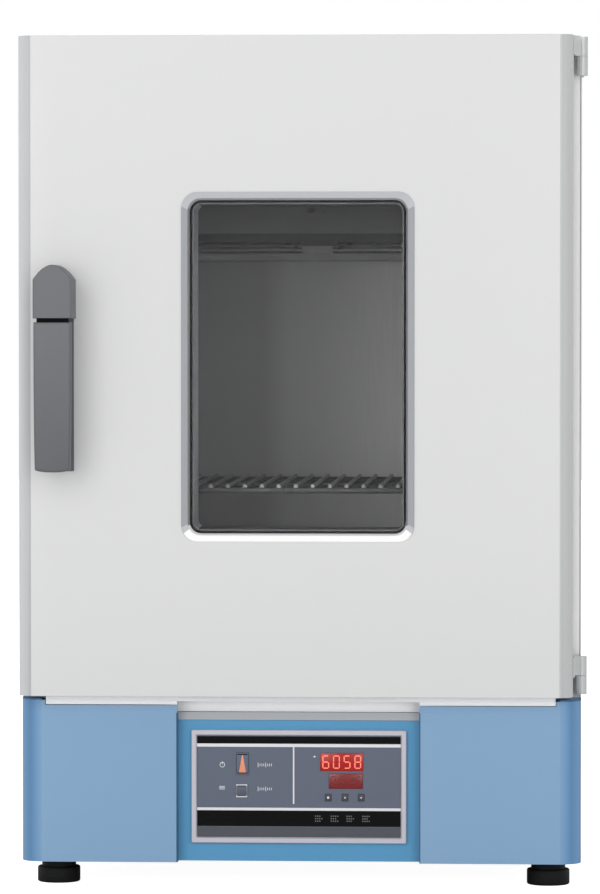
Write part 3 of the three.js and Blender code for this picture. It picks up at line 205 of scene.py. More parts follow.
def grain_group():
    """Noise over the surface, which shades a colour and a roughness and gives a height."""
    group = bpy.data.node_groups.new("surface_grain", "ShaderNodeTree")
    for name, kind, value in [
        ("Colour", "Color", (0.5, 0.5, 0.5, 1)), ("Second Colour", "Color", (0.4, 0.4, 0.4, 1)),
        ("Stretch", "Vector", (1, 1, 1)), ("Scale", "Float", 100.0), ("Mottle", "Float", 0.5),
        ("Roughness", "Float", 0.5), ("Spread", "Float", 0.1),
    ]:
        made = group.interface.new_socket(name, in_out="INPUT", socket_type=f"NodeSocket{kind}")
        made.default_value = value
    for name, kind in [("Colour", "Color"), ("Roughness", "Float"), ("Height", "Float")]:
        group.interface.new_socket(name, in_out="OUTPUT", socket_type=f"NodeSocket{kind}")
    nodes, links = group.nodes, group.links
    given = nodes.new("NodeGroupInput")
    result = nodes.new("NodeGroupOutput")
    place = nodes.new("ShaderNodeTexCoord")
    mapping = nodes.new("ShaderNodeMapping")
    links.new(place.outputs["Object"], mapping.inputs["Vector"])
    links.new(given.outputs["Stretch"], mapping.inputs["Scale"])
    noise = nodes.new("ShaderNodeTexNoise")
    preset(noise, {"Detail": 3.0})
    links.new(mapping.outputs["Vector"], noise.inputs["Vector"])
    links.new(given.outputs["Scale"], noise.inputs["Scale"])
    height = noise.outputs["Fac"]
    mix = nodes.new("ShaderNodeMix")
    mix.data_type = "RGBA"
    links.new(math_node(group, "MULTIPLY", height, given.outputs["Mottle"]), mix.inputs["Factor"])
    links.new(given.outputs["Colour"], mix.inputs["A"])
    links.new(given.outputs["Second Colour"], mix.inputs["B"])
    rough = math_node(group, "MULTIPLY_ADD", height, given.outputs["Spread"], given.outputs["Roughness"])
    links.new(mix.outputs["Result"], result.inputs["Colour"])
    links.new(rough, result.inputs["Roughness"])
    links.new(height, result.inputs["Height"])
    return group


GRAIN = grain_group()


def grained(name, colour, second, scale, stretch=(1, 1, 1), mottle=0.5, rough=0.5, spread=0.1,
            bump=0.1, depth=0.0002, metal=0.0, shine=0.5):
    """A material whose colour, roughness and relief follow one grain."""
    look, tree, shader = new_look(name)
    preset(shader, {"Metallic": metal, "Specular IOR Level": shine})
    grain = tree.nodes.new("ShaderNodeGroup")
    grain.node_tree = GRAIN
    preset(grain, {
        "Colour": (*linear(*colour), 1), "Second Colour": (*linear(*second), 1), "Stretch": stretch,
        "Scale": scale, "Mottle": mottle, "Roughness": rough, "Spread": spread,
    })
    relief = tree.nodes.new("ShaderNodeBump")
    preset(relief, {"Strength": bump, "Distance": depth})
    tree.links.new(grain.outputs["Height"], relief.inputs["Height"])
    tree.links.new(grain.outputs["Colour"], shader.inputs["Base Color"])
    tree.links.new(grain.outputs["Roughness"], shader.inputs["Roughness"])
    tree.links.new(relief.outputs["Normal"], shader.inputs["Normal"])
    return look


def dress(look, *names):
    """Gives CAD nodes a better material."""
    for name in names:
        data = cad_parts[name].data
        data.materials.clear()
        data.materials.append(look)


def shaped(name, bm, look, body, replaced=(), sharp=math.radians(35)):
    """A finished mesh as a piece that rides on a body."""
    bmesh.ops.remove_doubles(bm, verts=bm.verts, dist=1e-6)
    bmesh.ops.recalc_face_normals(bm, faces=bm.faces)
    for face in bm.faces:
        face.smooth = True
    for edge in bm.edges:
        edge.smooth = len(edge.link_faces) == 2 and edge.calc_face_angle(0.0) < sharp
    mesh = bpy.data.meshes.new(name)
    bm.to_mesh(mesh)
    bm.free()
    mesh.materials.append(look)
    piece = placed(name, mesh)
    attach(piece, body)
    if replaced:
        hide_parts(*replaced)
    return piece


def chain(bm, points):
    """Adds points joined in a row, and gives them and their edges."""
    made = [bm.verts.new(point) for point in points]
    return made, [bm.edges.new(pair) for pair in zip(made, made[1:])]


def turned(bm, profile, centre=Vector(), steps=48):
    """Adds a solid of revolution about an upright axis, from (radius, height) points."""
    made, edges = chain(bm, [(centre.x + r, centre.y, h) for r, h in profile])
    bmesh.ops.spin(
        bm, geom=made + edges, cent=(centre.x, centre.y, 0), axis=(0, 0, 1),
        angle=2 * math.pi, steps=steps, use_merge=True,
    )


RUBBER = grained(
    "foot_rubber", (22, 23, 24), (13, 14, 15), 900.0, rough=0.55, bump=0.25, depth=0.0001, shine=0.2,
)
FOOT_ROUND = 0.0015
NECK_SHARE = 0.8
FLANGE_SHARE = 0.618
for node in ("foot_front_left", "foot_front_right", "foot_rear_left", "foot_rear_right"):
    low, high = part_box(node)
    flange = (high.x - low.x) / 2
    top = high.z * FLANGE_SHARE
    bm = bmesh.new()
    turned(bm, [
        (0, 0), (flange - FOOT_ROUND, 0), (flange - FOOT_ROUND / 3, FOOT_ROUND / 3), (flange, FOOT_ROUND),
        (flange, top - FOOT_ROUND), (flange - FOOT_ROUND / 3, top - FOOT_ROUND / 3),
        (flange - FOOT_ROUND, top), (flange * NECK_SHARE, top), (flange * NECK_SHARE, high.z), (0, high.z),
    ], (low + high) / 2)
    shaped(f"{node}_moulding", bm, RUBBER, "cabinet", [node])

# Base housing
# One blue powder-coated steel sheet, folded round three sides: it turns a wide radius at each
# front corner, steps back in the middle for the controls, and stands taller at the corner posts.


def painted(name, colour, second, scale=1400.0, **differing):
    """Powder coat, an even colour with a fine relief."""
    usual = {"mottle": 0.35, "rough": 0.34, "spread": 0.06, "bump": 0.12, "depth": 0.00012}
    return grained(name, colour, second, scale, **(usual | differing))


BLUE = painted("blue_paint", (133, 168, 201), (120, 158, 196))
SHEET = 0.0015
POST_TOP = 0.1983
PANEL_TOP = 0.1917
WALL_TOP = 0.1859
RECESS_TOP = 0.1835
POST_WIDTH = 0.026
POST_ROUND = 0.022
ROUND_STEPS = 14
FOLD_ROUND = 0.0012
FOLD_STEPS = 3
PLATE_GAP = 0.0003
OPENING_SIDE = 0.02
OPENING_LOW = 0.05
OPENING_HIGH = 0.16
NEAR = 1e-6
SQUARE_ON = 0.99
base_low, base_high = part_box("base_shell")
plate_low, plate_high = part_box("control_plate")
shell_low, shell_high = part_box("cabinet_shell")
base_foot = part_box("base_floor")[0].z
recess_left, recess_right = plate_low.x, plate_high.x
recess_back = plate_high.y + PLATE_GAP
post_left, post_right = base_low.x + POST_WIDTH, base_high.x - POST_WIDTH
front = base_low.y


def raised(bm, edges, z):
    """Pulls edges up to a height and gives the new top edges."""
    made = bmesh.ops.extrude_edge_only(bm, edges=edges)["geom"]
    for vert in made:
        if isinstance(vert, bmesh.types.BMVert):
            vert.co.z = z
    made = [part for part in made if isinstance(part, bmesh.types.BMEdge)]
    return [e for e in made if all(abs(v.co.z - z) < NEAR for v in e.verts)]


def upright_edges(bm, chosen):
    """The edges that stand upright at the plan points for which chosen(x, y) holds."""
    return [
        e for e in bm.edges
        if (e.verts[0].co.xy - e.verts[1].co.xy).length < NEAR and chosen(*e.verts[0].co.xy)
    ]


def within(edges, axis, low, high):
    """The edges whose ends both lie in a band along one axis."""
    return [e for e in edges if all(low - NEAR < v.co[axis] < high + NEAR for v in e.verts)]


def rounded_off(bm, edges, radius, steps):
    """Gives edges a radius."""
    bmesh.ops.bevel(
        bm, geom=edges, offset=radius, offset_type="OFFSET", affect="EDGES", segments=steps, profile=0.5,
        material=-1, clamp_overlap=True,
    )


def cut_out(bm, left, right, low, high, chosen=lambda face: True):
    """Cuts an oblong hole through the chosen faces of a sheet that stands across the view."""
    for across, places in (((1, 0, 0), (left, right)), ((0, 0, 1), (low, high))):
        for place in places:
            sheet = [face for face in bm.faces if chosen(face)]
            parts = dict.fromkeys(part for face in sheet for part in (face, *face.edges, *face.verts))
            spot = place * Vector(across)
            bmesh.ops.bisect_plane(bm, geom=list(parts), plane_co=spot, plane_no=across, dist=NEAR)
    bm.normal_update()
    hole = []
    for face in bm.faces:
        middle = face.calc_center_median()
        inside = left < middle.x < right and low < middle.z < high
        if inside and chosen(face) and abs(face.normal.y) > SQUARE_ON:
            hole.append(face)
    bmesh.ops.delete(bm, geom=hole, context="FACES")


bm = bmesh.new()
_, edges = chain(bm, [(x, y, base_foot) for x, y in (
    (base_low.x, base_high.y), (base_low.x, shell_low.y), (base_low.x, front), (post_left, front),
    (recess_left, front), (recess_left, recess_back), (recess_right, recess_back), (recess_right, front),
    (post_right, front), (base_high.x, front), (base_high.x, shell_low.y), (base_high.x, base_high.y),
)])
edges = raised(bm, edges, RECESS_TOP)
middle = within(edges, 0, recess_left, recess_right)
recess = [e for e in middle if max(v.co.y for v in e.verts) > front + NEAR]
edges = raised(bm, [e for e in edges if e not in recess], WALL_TOP)
edges = raised(bm, within(edges, 1, front, shell_low.y), PANEL_TOP)
raised(bm, within(edges, 0, base_low.x, post_left) + within(edges, 0, post_right, base_high.x), POST_TOP)
bmesh.ops.remove_doubles(bm, verts=bm.verts, dist=NEAR)
outer_corners = upright_edges(
    bm, lambda x, y: y < front + NEAR and not base_low.x + NEAR < x < base_high.x - NEAR
)
rounded_off(bm, outer_corners, POST_ROUND, ROUND_STEPS)
folds = upright_edges(bm, lambda x, y: min(abs(x - recess_left), abs(x - recess_right)) < NEAR)
rounded_off(bm, folds, FOLD_ROUND, FOLD_STEPS)
# The control plate covers an opening that the switches and displays reach through
cut_out(
    bm, recess_left + OPENING_SIDE, recess_right - OPENING_SIDE, OPENING_LOW, OPENING_HIGH,
    chosen=lambda face: all(abs(v.co.y - recess_back) < NEAR for v in face.verts),
)
bmesh.ops.recalc_face_normals(bm, faces=bm.faces)
bmesh.ops.solidify(bm, geom=bm.faces[:], thickness=SHEET)


def joined(bm, part):
    """Adds one bmesh to another."""
    carrier = bpy.data.meshes.new("part")
    part.to_mesh(carrier)
    part.free()
    bm.from_mesh(carrier)
    bpy.data.meshes.remove(carrier)


EASED_ABOVE = math.radians(40)


def rounded_slab(bm, low, high, turned_edges=None, radius=0.0, soft=0.0, soft_steps=2):
    """Adds a block between two corners, with chosen upright edges rounded and every edge eased."""
    part = bmesh.new()
    bmesh.ops.create_cube(part, size=1.0)
    bmesh.ops.scale(part, vec=[b - a for a, b in zip(low, high)], verts=part.verts)
    bmesh.ops.translate(part, vec=[(a + b) / 2 for a, b in zip(low, high)], verts=part.verts)
    if turned_edges:
        rounded_off(part, upright_edges(part, turned_edges), radius, ROUND_STEPS)
    if soft:
        sharp_edges = [e for e in part.edges if e.calc_face_angle(0.0) > EASED_ABOVE]
        rounded_off(part, sharp_edges, soft, soft_steps)
    joined(bm, part)


for left, right, outer in ((base_low.x, post_left, base_low.x), (post_right, base_high.x, base_high.x)):
    rounded_slab(
        bm, (left, front, POST_TOP - SHEET), (right, shell_low.y, POST_TOP),
        turned_edges=lambda x, y: y < front + NEAR and abs(x - outer) < NEAR, radius=POST_ROUND,
    )
housing = shaped("base_housing", bm, BLUE, "cabinet", ["base_shell"])


def ramped(look, axis, start, end, stops, middle=0.0, mirrored=False):
    """Lets a grained colour change along an axis, or with the distance from a middle on it."""
    tree = look.node_tree
    colour = tree.nodes["Group"].inputs["Colour"]
    spot = tree.nodes.new("ShaderNodeTexCoord")
    apart = tree.nodes.new("ShaderNodeSeparateXYZ")
    tree.links.new(spot.outputs["Object"], apart.inputs["Vector"])
    reach = math_node(tree, "SUBTRACT", apart.outputs[axis], middle)
    if mirrored:
        reach = math_node(tree, "ABSOLUTE", reach)
    share = tree.nodes.new("ShaderNodeMapRange")
    preset(share, {"From Min": start, "From Max": end})
    tree.links.new(reach, share.inputs["Value"])
    ramp = tree.nodes.new("ShaderNodeValToRGB")
    spots = ramp.color_ramp.elements
    spots.remove(spots[1])
    spots[0].color = colour.default_value
    for place, shade in stops:
        spots.new(place).color = (*linear(*shade), 1)
    tree.links.new(share.outputs["Result"], ramp.inputs["Fac"])
    tree.links.new(ramp.outputs["Color"], colour)


# The rolled corner posts carry painted shade, darker than the flat panels, with a painted highlight
# near their outer edge, and the folds and walls of the recess carry a darker painted shadow.
CORNER_SHADE_BLUE = painted("corner_blue_painted_shade", (126, 164, 200), (92, 138, 182), mottle=0.3)
base_half = (base_high.x - base_low.x) / 2
ramped(
    CORNER_SHADE_BLUE, "X", base_half - POST_ROUND, base_half,
    [(0.3, (104, 150, 192)), (0.55, (93, 137, 180)), (0.88, (108, 158, 203)), (0.97, (84, 124, 166))],
    middle=(base_low.x + base_high.x) / 2, mirrored=True,
)
FOLD_SHADOW_BLUE = painted(
    "fold_painted_shadow", (66, 104, 134), (56, 92, 122), mottle=0.3, rough=0.4, spread=0.1, bump=0.1, depth=0.0001,
)
FOLD_SHADOW_REACH = 0.0016
FOLD_SHADOW_LEAN = 0.2
housing.data.materials.append(CORNER_SHADE_BLUE)
housing.data.materials.append(FOLD_SHADOW_BLUE)
# Faces on the rolled posts take the painted shade, faces at the recess folds the painted shadow
for face in housing.data.polygons:
    x, y, _ = face.center
    outside = not base_low.x + POST_ROUND < x < base_high.x - POST_ROUND
    if outside and y < front + POST_ROUND:
        face.material_index = 1
    elif abs(face.normal.x) > FOLD_SHADOW_LEAN and min(abs(x - recess_left), abs(x - recess_right)) < FOLD_SHADOW_REACH:
        face.material_index = 2

# Floor pan, rear panel and inlet
# The base is closed below by a folded grey pan and behind by a slotted blue panel, which
# carries a moulded mains inlet. Pan-head screws hold the panel along its top and bottom.
DARK_STEEL = grained(
    "dark_steel", (96, 98, 101), (78, 80, 84), 700.0, mottle=0.5, rough=0.42, spread=0.12, bump=0.1,
    depth=0.0001, metal=0.6,
)
dress(DARK_STEEL, "base_floor")
dress(BLUE, "base_rear_panel")
BLACK_PLASTIC = grained(
    "black_plastic", (24, 25, 27), (16, 17, 19), 2200.0, rough=0.42, bump=0.2, depth=0.00006,
)
dress(BLACK_PLASTIC, "mains_inlet")
STEEL = grained(
    "steel", (196, 198, 200), (164, 166, 170), 260.0, stretch=(1, 1, 14), mottle=0.6, rough=0.26,
    spread=0.12, bump=0.08, depth=0.00005, metal=1.0,
)
SCREW_HEAD = 0.0034
SCREW_RISE = 0.0014
SCREW_STEPS = 16
HEAD_SHARES = ((0, 1), (0.45, 1), (0.8, 0.75), (0.97, 0.35), (1, 0), (0, 0))
CROSS_ARM = 0.5
CROSS_WIDTH = 0.16
CROSS_RISE = 1.02


def screw_heads(name, places, facing, look, body, head=SCREW_HEAD):
    """Pan-head screws at each place, their heads facing one way, each marked with a cross."""
    bm = bmesh.new()
    turn = Vector((0, 0, 1)).rotation_difference(Vector(facing)).to_matrix().to_4x4()
    rise = SCREW_RISE * head / SCREW_HEAD
    profile = [(head * out, rise * up) for out, up in HEAD_SHARES]
    for place in places:
        part = bmesh.new()
        turned(part, profile, steps=SCREW_STEPS)
        for wide, tall in ((1, CROSS_WIDTH), (CROSS_WIDTH, 1)):
            x, y = head * CROSS_ARM * wide, head * CROSS_ARM * tall
            rounded_slab(part, (-x, -y, rise), (x, y, rise * CROSS_RISE))
        bmesh.ops.transform(part, matrix=Matrix.Translation(place) @ turn, verts=part.verts)
        joined(bm, part)
    return shaped(name, bm, look, body)


rear_low, rear_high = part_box("base_rear_panel")
SCREW_INSET = 0.009
MIDDLE_SCREW = -0.003
screw_heads("base_rear_screws", [
    (x, rear_high.y, z)
    for x in (rear_low.x + SCREW_INSET, MIDDLE_SCREW, rear_high.x - SCREW_INSET)
    for z in (rear_low.z + SCREW_INSET, rear_high.z - SCREW_INSET)
], (0, 1, 0), STEEL, "cabinet")
inlet_low, inlet_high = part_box("mains_inlet")
inlet_mid = (inlet_low + inlet_high) / 2
BLADE = Vector((0.0022, 0.016, 0.0055))
BLADE_SOFT = 0.0004
SOCKET_SIDE = 0.0075
SOCKET_DEPTH = 0.016
PIN_SPOTS = ((-0.007, -0.004), (0.0, 0.004), (0.007, -0.004))
bm = bmesh.new()
for across, up in PIN_SPOTS:
    pin = Vector((inlet_mid.x + SOCKET_SIDE + across, inlet_high.y - SOCKET_DEPTH, inlet_mid.z + up))
    rounded_slab(bm, pin - BLADE / 2, pin + BLADE / 2, soft=BLADE_SOFT)
shaped("inlet_pins", bm, STEEL, "cabinet")

# Control plate and trim
# The plate that carries the controls is painted a deeper blue and stands in the recess of the
# housing. A grey trim strip, brushed along its length, covers the joint between its top and the lid
# of the base; its grey is painted shade under the lid.
DEEP_BLUE = painted("deep_blue_paint", (84, 154, 198), (75, 144, 188), rough=0.32, bump=0.1, depth=0.0001)
# Painted shade: the trim's grey stands in for the shadow under the lid
TRIM_SHADE_GREY = grained(
    "trim_grey_painted_shade", (174, 177, 181), (163, 166, 171), 500.0, stretch=(0.05, 1, 1), mottle=0.4, rough=0.4,
    spread=0.08, bump=0.05, depth=0.00005, metal=0.2,
)
dress(DEEP_BLUE, "control_plate")
dress(TRIM_SHADE_GREY, "recess_trim")

# Control fascia
# An anodised frame screwed into the blue plate holds a grey film with printed bands, lines and
# marks, and two red display windows sit in it. A darker grey strip along the foot of the film is
# painted shade. The board and the heater's relay stand behind it.
SILVER = grained(
    "silver", (198, 196, 205), (184, 182, 192), 420.0, stretch=(0.08, 1, 1), mottle=0.4, rough=0.34,
    spread=0.08, bump=0.05, depth=0.00004, metal=0.35,
)


def quarter(x, y, wide, deep, start, steps):
    """Points on a quarter of an ellipse round a centre, from a starting angle on."""
    angles = [start + i * math.pi / 2 / steps for i in range(steps + 1)]
    return [(x + wide * math.cos(angle), y + deep * math.sin(angle)) for angle in angles]


def rounded_rectangle(centre, width, height, radius, steps):
    """The points of a rounded rectangle round a centre (x, z)."""
    half, tall = width / 2 - radius, height / 2 - radius
    quarters = ((half, tall), (-half, tall), (-half, -tall), (half, -tall))
    return [
        point
        for i, (x, z) in enumerate(quarters)
        for point in quarter(centre[0] + x, centre[1] + z, radius, radius, i * math.pi / 2, steps)
    ]


def hooped(bm, hoops, closed=False, caps=()):
    """A skin pulled through loops of points (y, points); the first and last may be capped."""
    height, points = hoops[0]
    loop = [bm.verts.new((x, height, z)) for x, z in points]
    edges = [bm.edges.new(pair) for pair in zip(loop, loop[1:] + loop[:1])]
    if 0 in caps:
        bm.faces.new(loop)
    for height, points in hoops[1:] + (hoops[:1] if closed else []):
        goal = {tuple(vert.co): (i, x, z) for i, (vert, (x, z)) in enumerate(zip(loop, points))}
        made = bmesh.ops.extrude_edge_only(bm, edges=edges)["geom"]
        verts = [part for part in made if isinstance(part, bmesh.types.BMVert)]
        loop = sorted(verts, key=lambda vert: goal[tuple(vert.co)][0])
        edges = [part for part in made if isinstance(part, bmesh.types.BMEdge) and len(part.link_faces) == 1]
        for vert in loop:
            _, x, z = goal[tuple(vert.co)]
            vert.co = (x, height, z)
    if 1 in caps:
        bm.faces.new(loop)


def rimmed(box, rows, steps, closed=True, caps=()):
    """A new skin through rounded rectangles drawn in from a box's outline: (inset, y, radius) rows."""
    low, high = box
    bm = bmesh.new()
    hooped(bm, [
        (y, rounded_rectangle(
            ((low.x + high.x) / 2, (low.z + high.z) / 2), high.x - low.x - 2 * inset,
            high.z - low.z - 2 * inset, radius, steps,
        ))
        for inset, y, radius in rows
    ], closed, caps)
    return bm


frame_low, frame_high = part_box("fascia_frame")
frame_mid = (frame_low + frame_high) / 2
FRAME_BORDER = 0.0060
FRAME_FACE = frame_low.y
FRAME_FALL = 0.0016
FRAME_SOFT = 0.0006
CORNER = 0.0015
bm = rimmed((frame_low, frame_high), [
    (0, frame_high.y, CORNER),
    (0, FRAME_FACE + FRAME_SOFT, CORNER),
    (FRAME_SOFT, FRAME_FACE, CORNER),
    (FRAME_BORDER - 2 * FRAME_SOFT, FRAME_FACE, CORNER / 2),
    (FRAME_BORDER, FRAME_FACE + FRAME_FALL, CORNER / 2),
    (FRAME_BORDER, frame_high.y, CORNER / 2),
], steps=4)
shaped("fascia_surround", bm, SILVER, "cabinet", ["fascia_frame"])

PANEL = grained(
    "panel_film", (93, 101, 118), (84, 91, 107), 1800.0, mottle=0.4, rough=0.5, spread=0.06, bump=0.08,
    depth=0.00004,
)
dress(PANEL, "fascia_panel", "power_switch_frame")
BOARD = grained("board_green", (38, 104, 66), (26, 82, 50), 900.0, rough=0.4, bump=0.1, depth=0.00008)
dress(BOARD, "control_board")
dress(BLACK_PLASTIC, "heater_relay")


def ink(name, colour, second, **differing):
    """A thin, even look like print on a film; also used for painted shade and painted highlight."""
    usual = {"mottle": 0.3, "rough": 0.45, "bump": 0.03, "depth": 0.00002}
    return grained(name, colour, second, 1500.0, **(usual | differing))


# White print, also used as a painted highlight on the fan rocker's rim
PRINT_AND_HIGHLIGHT_WHITE = ink("print_and_highlight_white", (232, 232, 234), (220, 220, 224))
# Black print, also used as painted shade on the handle's head
PRINT_AND_SHADE_BLACK = ink("print_and_shade_black", (10, 10, 11), (6, 6, 7), shine=0.08)
# Painted shade, for the grey strip along the foot of the film
FOOT_SHADE_GREY = ink("foot_painted_shade", (72, 75, 83), (64, 66, 74), mottle=0.4)
INK = 0.00012
BAND_OVERLAP = 0.0003
panel_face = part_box("fascia_panel")[0].y
inner_half = (frame_high.x - frame_low.x) / 2 - FRAME_BORDER + BAND_OVERLAP


def printed(bm, left, right, low, high, lift=1.0):
    """A printed patch on the panel, given from the middle of the frame."""
    rounded_slab(
        bm, (frame_mid.x + left, panel_face - INK * lift, frame_mid.z + low),
        (frame_mid.x + right, panel_face, frame_mid.z + high),
    )


BANDS = {
    # name: look, slot, lower and upper edge
    "upper_band": (PRINT_AND_SHADE_BLACK, "black_plastic", 0.0450, 0.0524),
    "upper_line": (PRINT_AND_HIGHLIGHT_WHITE, "silver", 0.0414, 0.0447),
    "lower_line": (PRINT_AND_HIGHLIGHT_WHITE, "silver", -0.0252, -0.0224),
    "lower_band": (PRINT_AND_SHADE_BLACK, "black_plastic", -0.0419, -0.0255),
    # the foot strip is painted shade, not print
    "foot_shade_strip": (FOOT_SHADE_GREY, "panel_grey", -0.0527, -0.0424),
}
for name, (look, slot, low, high) in BANDS.items():
    bm = bmesh.new()
    printed(bm, -inner_half, inner_half, low, high)
    shaped(f"fascia_{name}", bm, look, "cabinet")


def polygon(x, z, radius, corners, start=0.0):
    """The corners of a regular polygon that faces the front."""
    angles = [start + i * 2 * math.pi / corners for i in range(corners)]
    return [(x + radius * math.cos(angle), z + radius * math.sin(angle)) for angle in angles]


DIVIDER = (-0.0062, -0.0047, -0.0183, 0.0414)
TICK = 0.0006
bm = bmesh.new()
printed(bm, *DIVIDER)
# Symbols beside the switches: a ring with a stroke, and three bars for moving air
RING = 0.0028
RING_SIDE, RING_UP = -0.0802, 0.0226
RING_CORNERS = 24
STROKE_REACH = 1.2
outer, inner = (
    polygon(frame_mid.x + RING_SIDE, frame_mid.z + RING_UP, radius, RING_CORNERS)
    for radius in (RING, RING - TICK)
)
hooped(bm, [(panel_face, outer), (panel_face - INK, outer), (panel_face - INK, inner), (panel_face, inner)])
printed(bm, RING_SIDE - TICK / 2, RING_SIDE + TICK / 2, RING_UP, RING_UP + RING * STROKE_REACH, lift=1.5)
AIR_LEFT, AIR_RIGHT, AIR_LOW, AIR_PITCH = -0.0835, -0.0775, -0.0033, 0.0014
for i in range(3):
    printed(bm, AIR_LEFT, AIR_RIGHT, AIR_LOW + i * AIR_PITCH, AIR_LOW + i * AIR_PITCH + TICK)
# Scale ticks where the switches are marked, every fourth one longer, and a cross by the display
SCALE_LEFT, SCALE_PITCH, SCALE_TICKS = -0.0430, 0.0020, 8
LONG_TICK, SHORT_TICK = 0.0024, 0.0014
for row in (0.0225, -0.0027):
    for i in range(SCALE_TICKS):
        tall = SHORT_TICK if i % 4 else LONG_TICK
        left = SCALE_LEFT + i * SCALE_PITCH
        printed(bm, left, left + TICK, row - tall, row + tall)
CROSS_FLAT = (0.0150, 0.0180, 0.0311, 0.0317)
CROSS_TALL = (0.0162, 0.0168, 0.0302, 0.0327)
printed(bm, *CROSS_FLAT)
printed(bm, *CROSS_TALL, lift=1.2)
shaped("fascia_marks", bm, PRINT_AND_HIGHLIGHT_WHITE, "cabinet")
FAINT = ink("print_faint", (112, 113, 108), (88, 90, 86), mottle=0.6, rough=0.5)
# Four groups of dashes in the lower black band, three rows each
GROUPS_LEFT = (0.0170, 0.0335, 0.0500, 0.0665)
DASH_LOW, DASH_RISE, DASH_STEP = -0.0368, 0.0026, 0.0022
DASH_WIDE, DASH_TALL = 0.0012, 0.0013
bm = bmesh.new()
for i, left in enumerate(GROUPS_LEFT):
    for row in range(3):
        for column in range(3 + (i + row) % 2):
            x = left + column * DASH_STEP
            z = DASH_LOW + row * DASH_RISE
            printed(bm, x, x + DASH_WIDE, z, z + DASH_TALL, lift=2.0)
shaped("fascia_lower_marks", bm, FAINT, "cabinet")


DIMMED = 0.8


def lit_window(name, colour, glow, strength):
    """Tinted display plastic with a weak light of its own."""
    look = grained(name, colour, colour, 900.0, mottle=0.4, rough=0.2, bump=0.0)
    nodes = look.node_tree.nodes
    preset(nodes["Group"], {"Second Colour": (*(c * DIMMED for c in linear(*colour)), 1)})
    preset(nodes["Principled BSDF"], {"Emission Color": (*linear(*glow), 1), "Emission Strength": strength})
    return look


RED = lit_window("red_display", (158, 4, 6), (150, 0, 0), 0.25)
DARK_RED = lit_window("dark_red_display", (124, 18, 22), (110, 6, 8), 0.12)
LIT = lit_window("lit_segments", (255, 120, 92), (255, 128, 100), 0.75)
UNLIT = lit_window("unlit_segments", (108, 14, 18), (96, 4, 6), 0.1)
SEGMENTS = {
    # name: middle x, middle z (in halves of the digit), lies flat
    "a": (0, 1, True), "b": (1, 0.5, False), "c": (1, -0.5, False), "d": (0, -1, True),
    "e": (-1, -0.5, False), "f": (-1, 0.5, False), "g": (0, 0, True),
}
DIGITS = {"0": "abcdef", "1": "bc", "5": "acdfg", "6": "acdefg", "8": "abcdefg"}
STROKE = 0.00055
# Shares of a digit's pitch, of its half width and of its half height
HALF_WIDTH = 0.27
FLAT_LENGTH = 0.78
TALL_LENGTH = 0.42


def digit_row(name, window, text, height, look):
    """A row of seven-segment digits over a display window."""
    low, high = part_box(window)
    pitch = (high.x - low.x) / len(text)
    half_tall, half_wide = height / 2, pitch * HALF_WIDTH
    bm = bmesh.new()
    for i, figure in enumerate(text):
        for segment in DIGITS[figure]:
            dx, dz, flat = SEGMENTS[segment]
            x = low.x + (i + 0.5) * pitch + dx * half_wide
            z = (low.z + high.z) / 2 + dz * half_tall
            wide, tall = (half_wide * FLAT_LENGTH, STROKE) if flat else (STROKE, half_tall * TALL_LENGTH)
            rounded_slab(bm, (x - wide, low.y - INK, z - tall), (x + wide, low.y, z + tall), soft=INK / 3)
    shaped(name, bm, look, "cabinet")


def block(name, low, high, look, body, slot, replaced=(), **eased):
    """One slab as a piece of its own."""
    bm = bmesh.new()
    rounded_slab(bm, low, high, **eased)
    return shaped(name, bm, look, body, replaced)


WINDOW_SOFT = 0.0003
for node, look, slot in (
    ("upper_display", RED, "red_display"), ("lower_display", DARK_RED, "dark_red_display"),
):
    block(f"{node}_window", *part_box(node), look, "cabinet", slot, [node], soft=WINDOW_SOFT)
digit_row("upper_digits", "upper_display", "6058", height=0.0128, look=LIT)
digit_row("lower_digits", "lower_display", "0015", height=0.0098, look=UNLIT)

# Rockers and keys
# The power rocker is a salmon-coloured lens that glows when the oven is on, the fan rocker a grey
# moulding in a rim painted white as a highlight. The three keys are moulded caps with a printed sign.
SALMON = lit_window("salmon_lens", (226, 146, 116), (226, 130, 100), 0.15)
APEX = 0.0005
LENS_SOFT = 0.0004
LENS_WIDE = 0.0039
LENS_SUNK = 0.0006
BODY_SUNK = 0.0009
low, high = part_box("power_rocker")
mid = (low + high) / 2
outline = [
    (mid.x - APEX, high.z), (mid.x + APEX, high.z), (mid.x + LENS_WIDE, low.z), (mid.x - LENS_WIDE, low.z),
]
bm = bmesh.new()
hooped(bm, [(low.y + LENS_SUNK, outline), (high.y, outline)], caps=(0, 1))
bmesh.ops.recalc_face_normals(bm, faces=bm.faces)
rounded_off(bm, within(bm.edges, 1, low.y, low.y + LENS_SUNK), LENS_SOFT, steps=3)
shaped("power_rocker_lens", bm, SALMON, "power_switch", ["power_rocker"])
block(
    "power_rocker_body", (low.x, low.y + BODY_SUNK, low.z), high, PANEL, "power_switch", "panel_grey",
    ["power_rocker"], soft=LENS_SOFT,
)
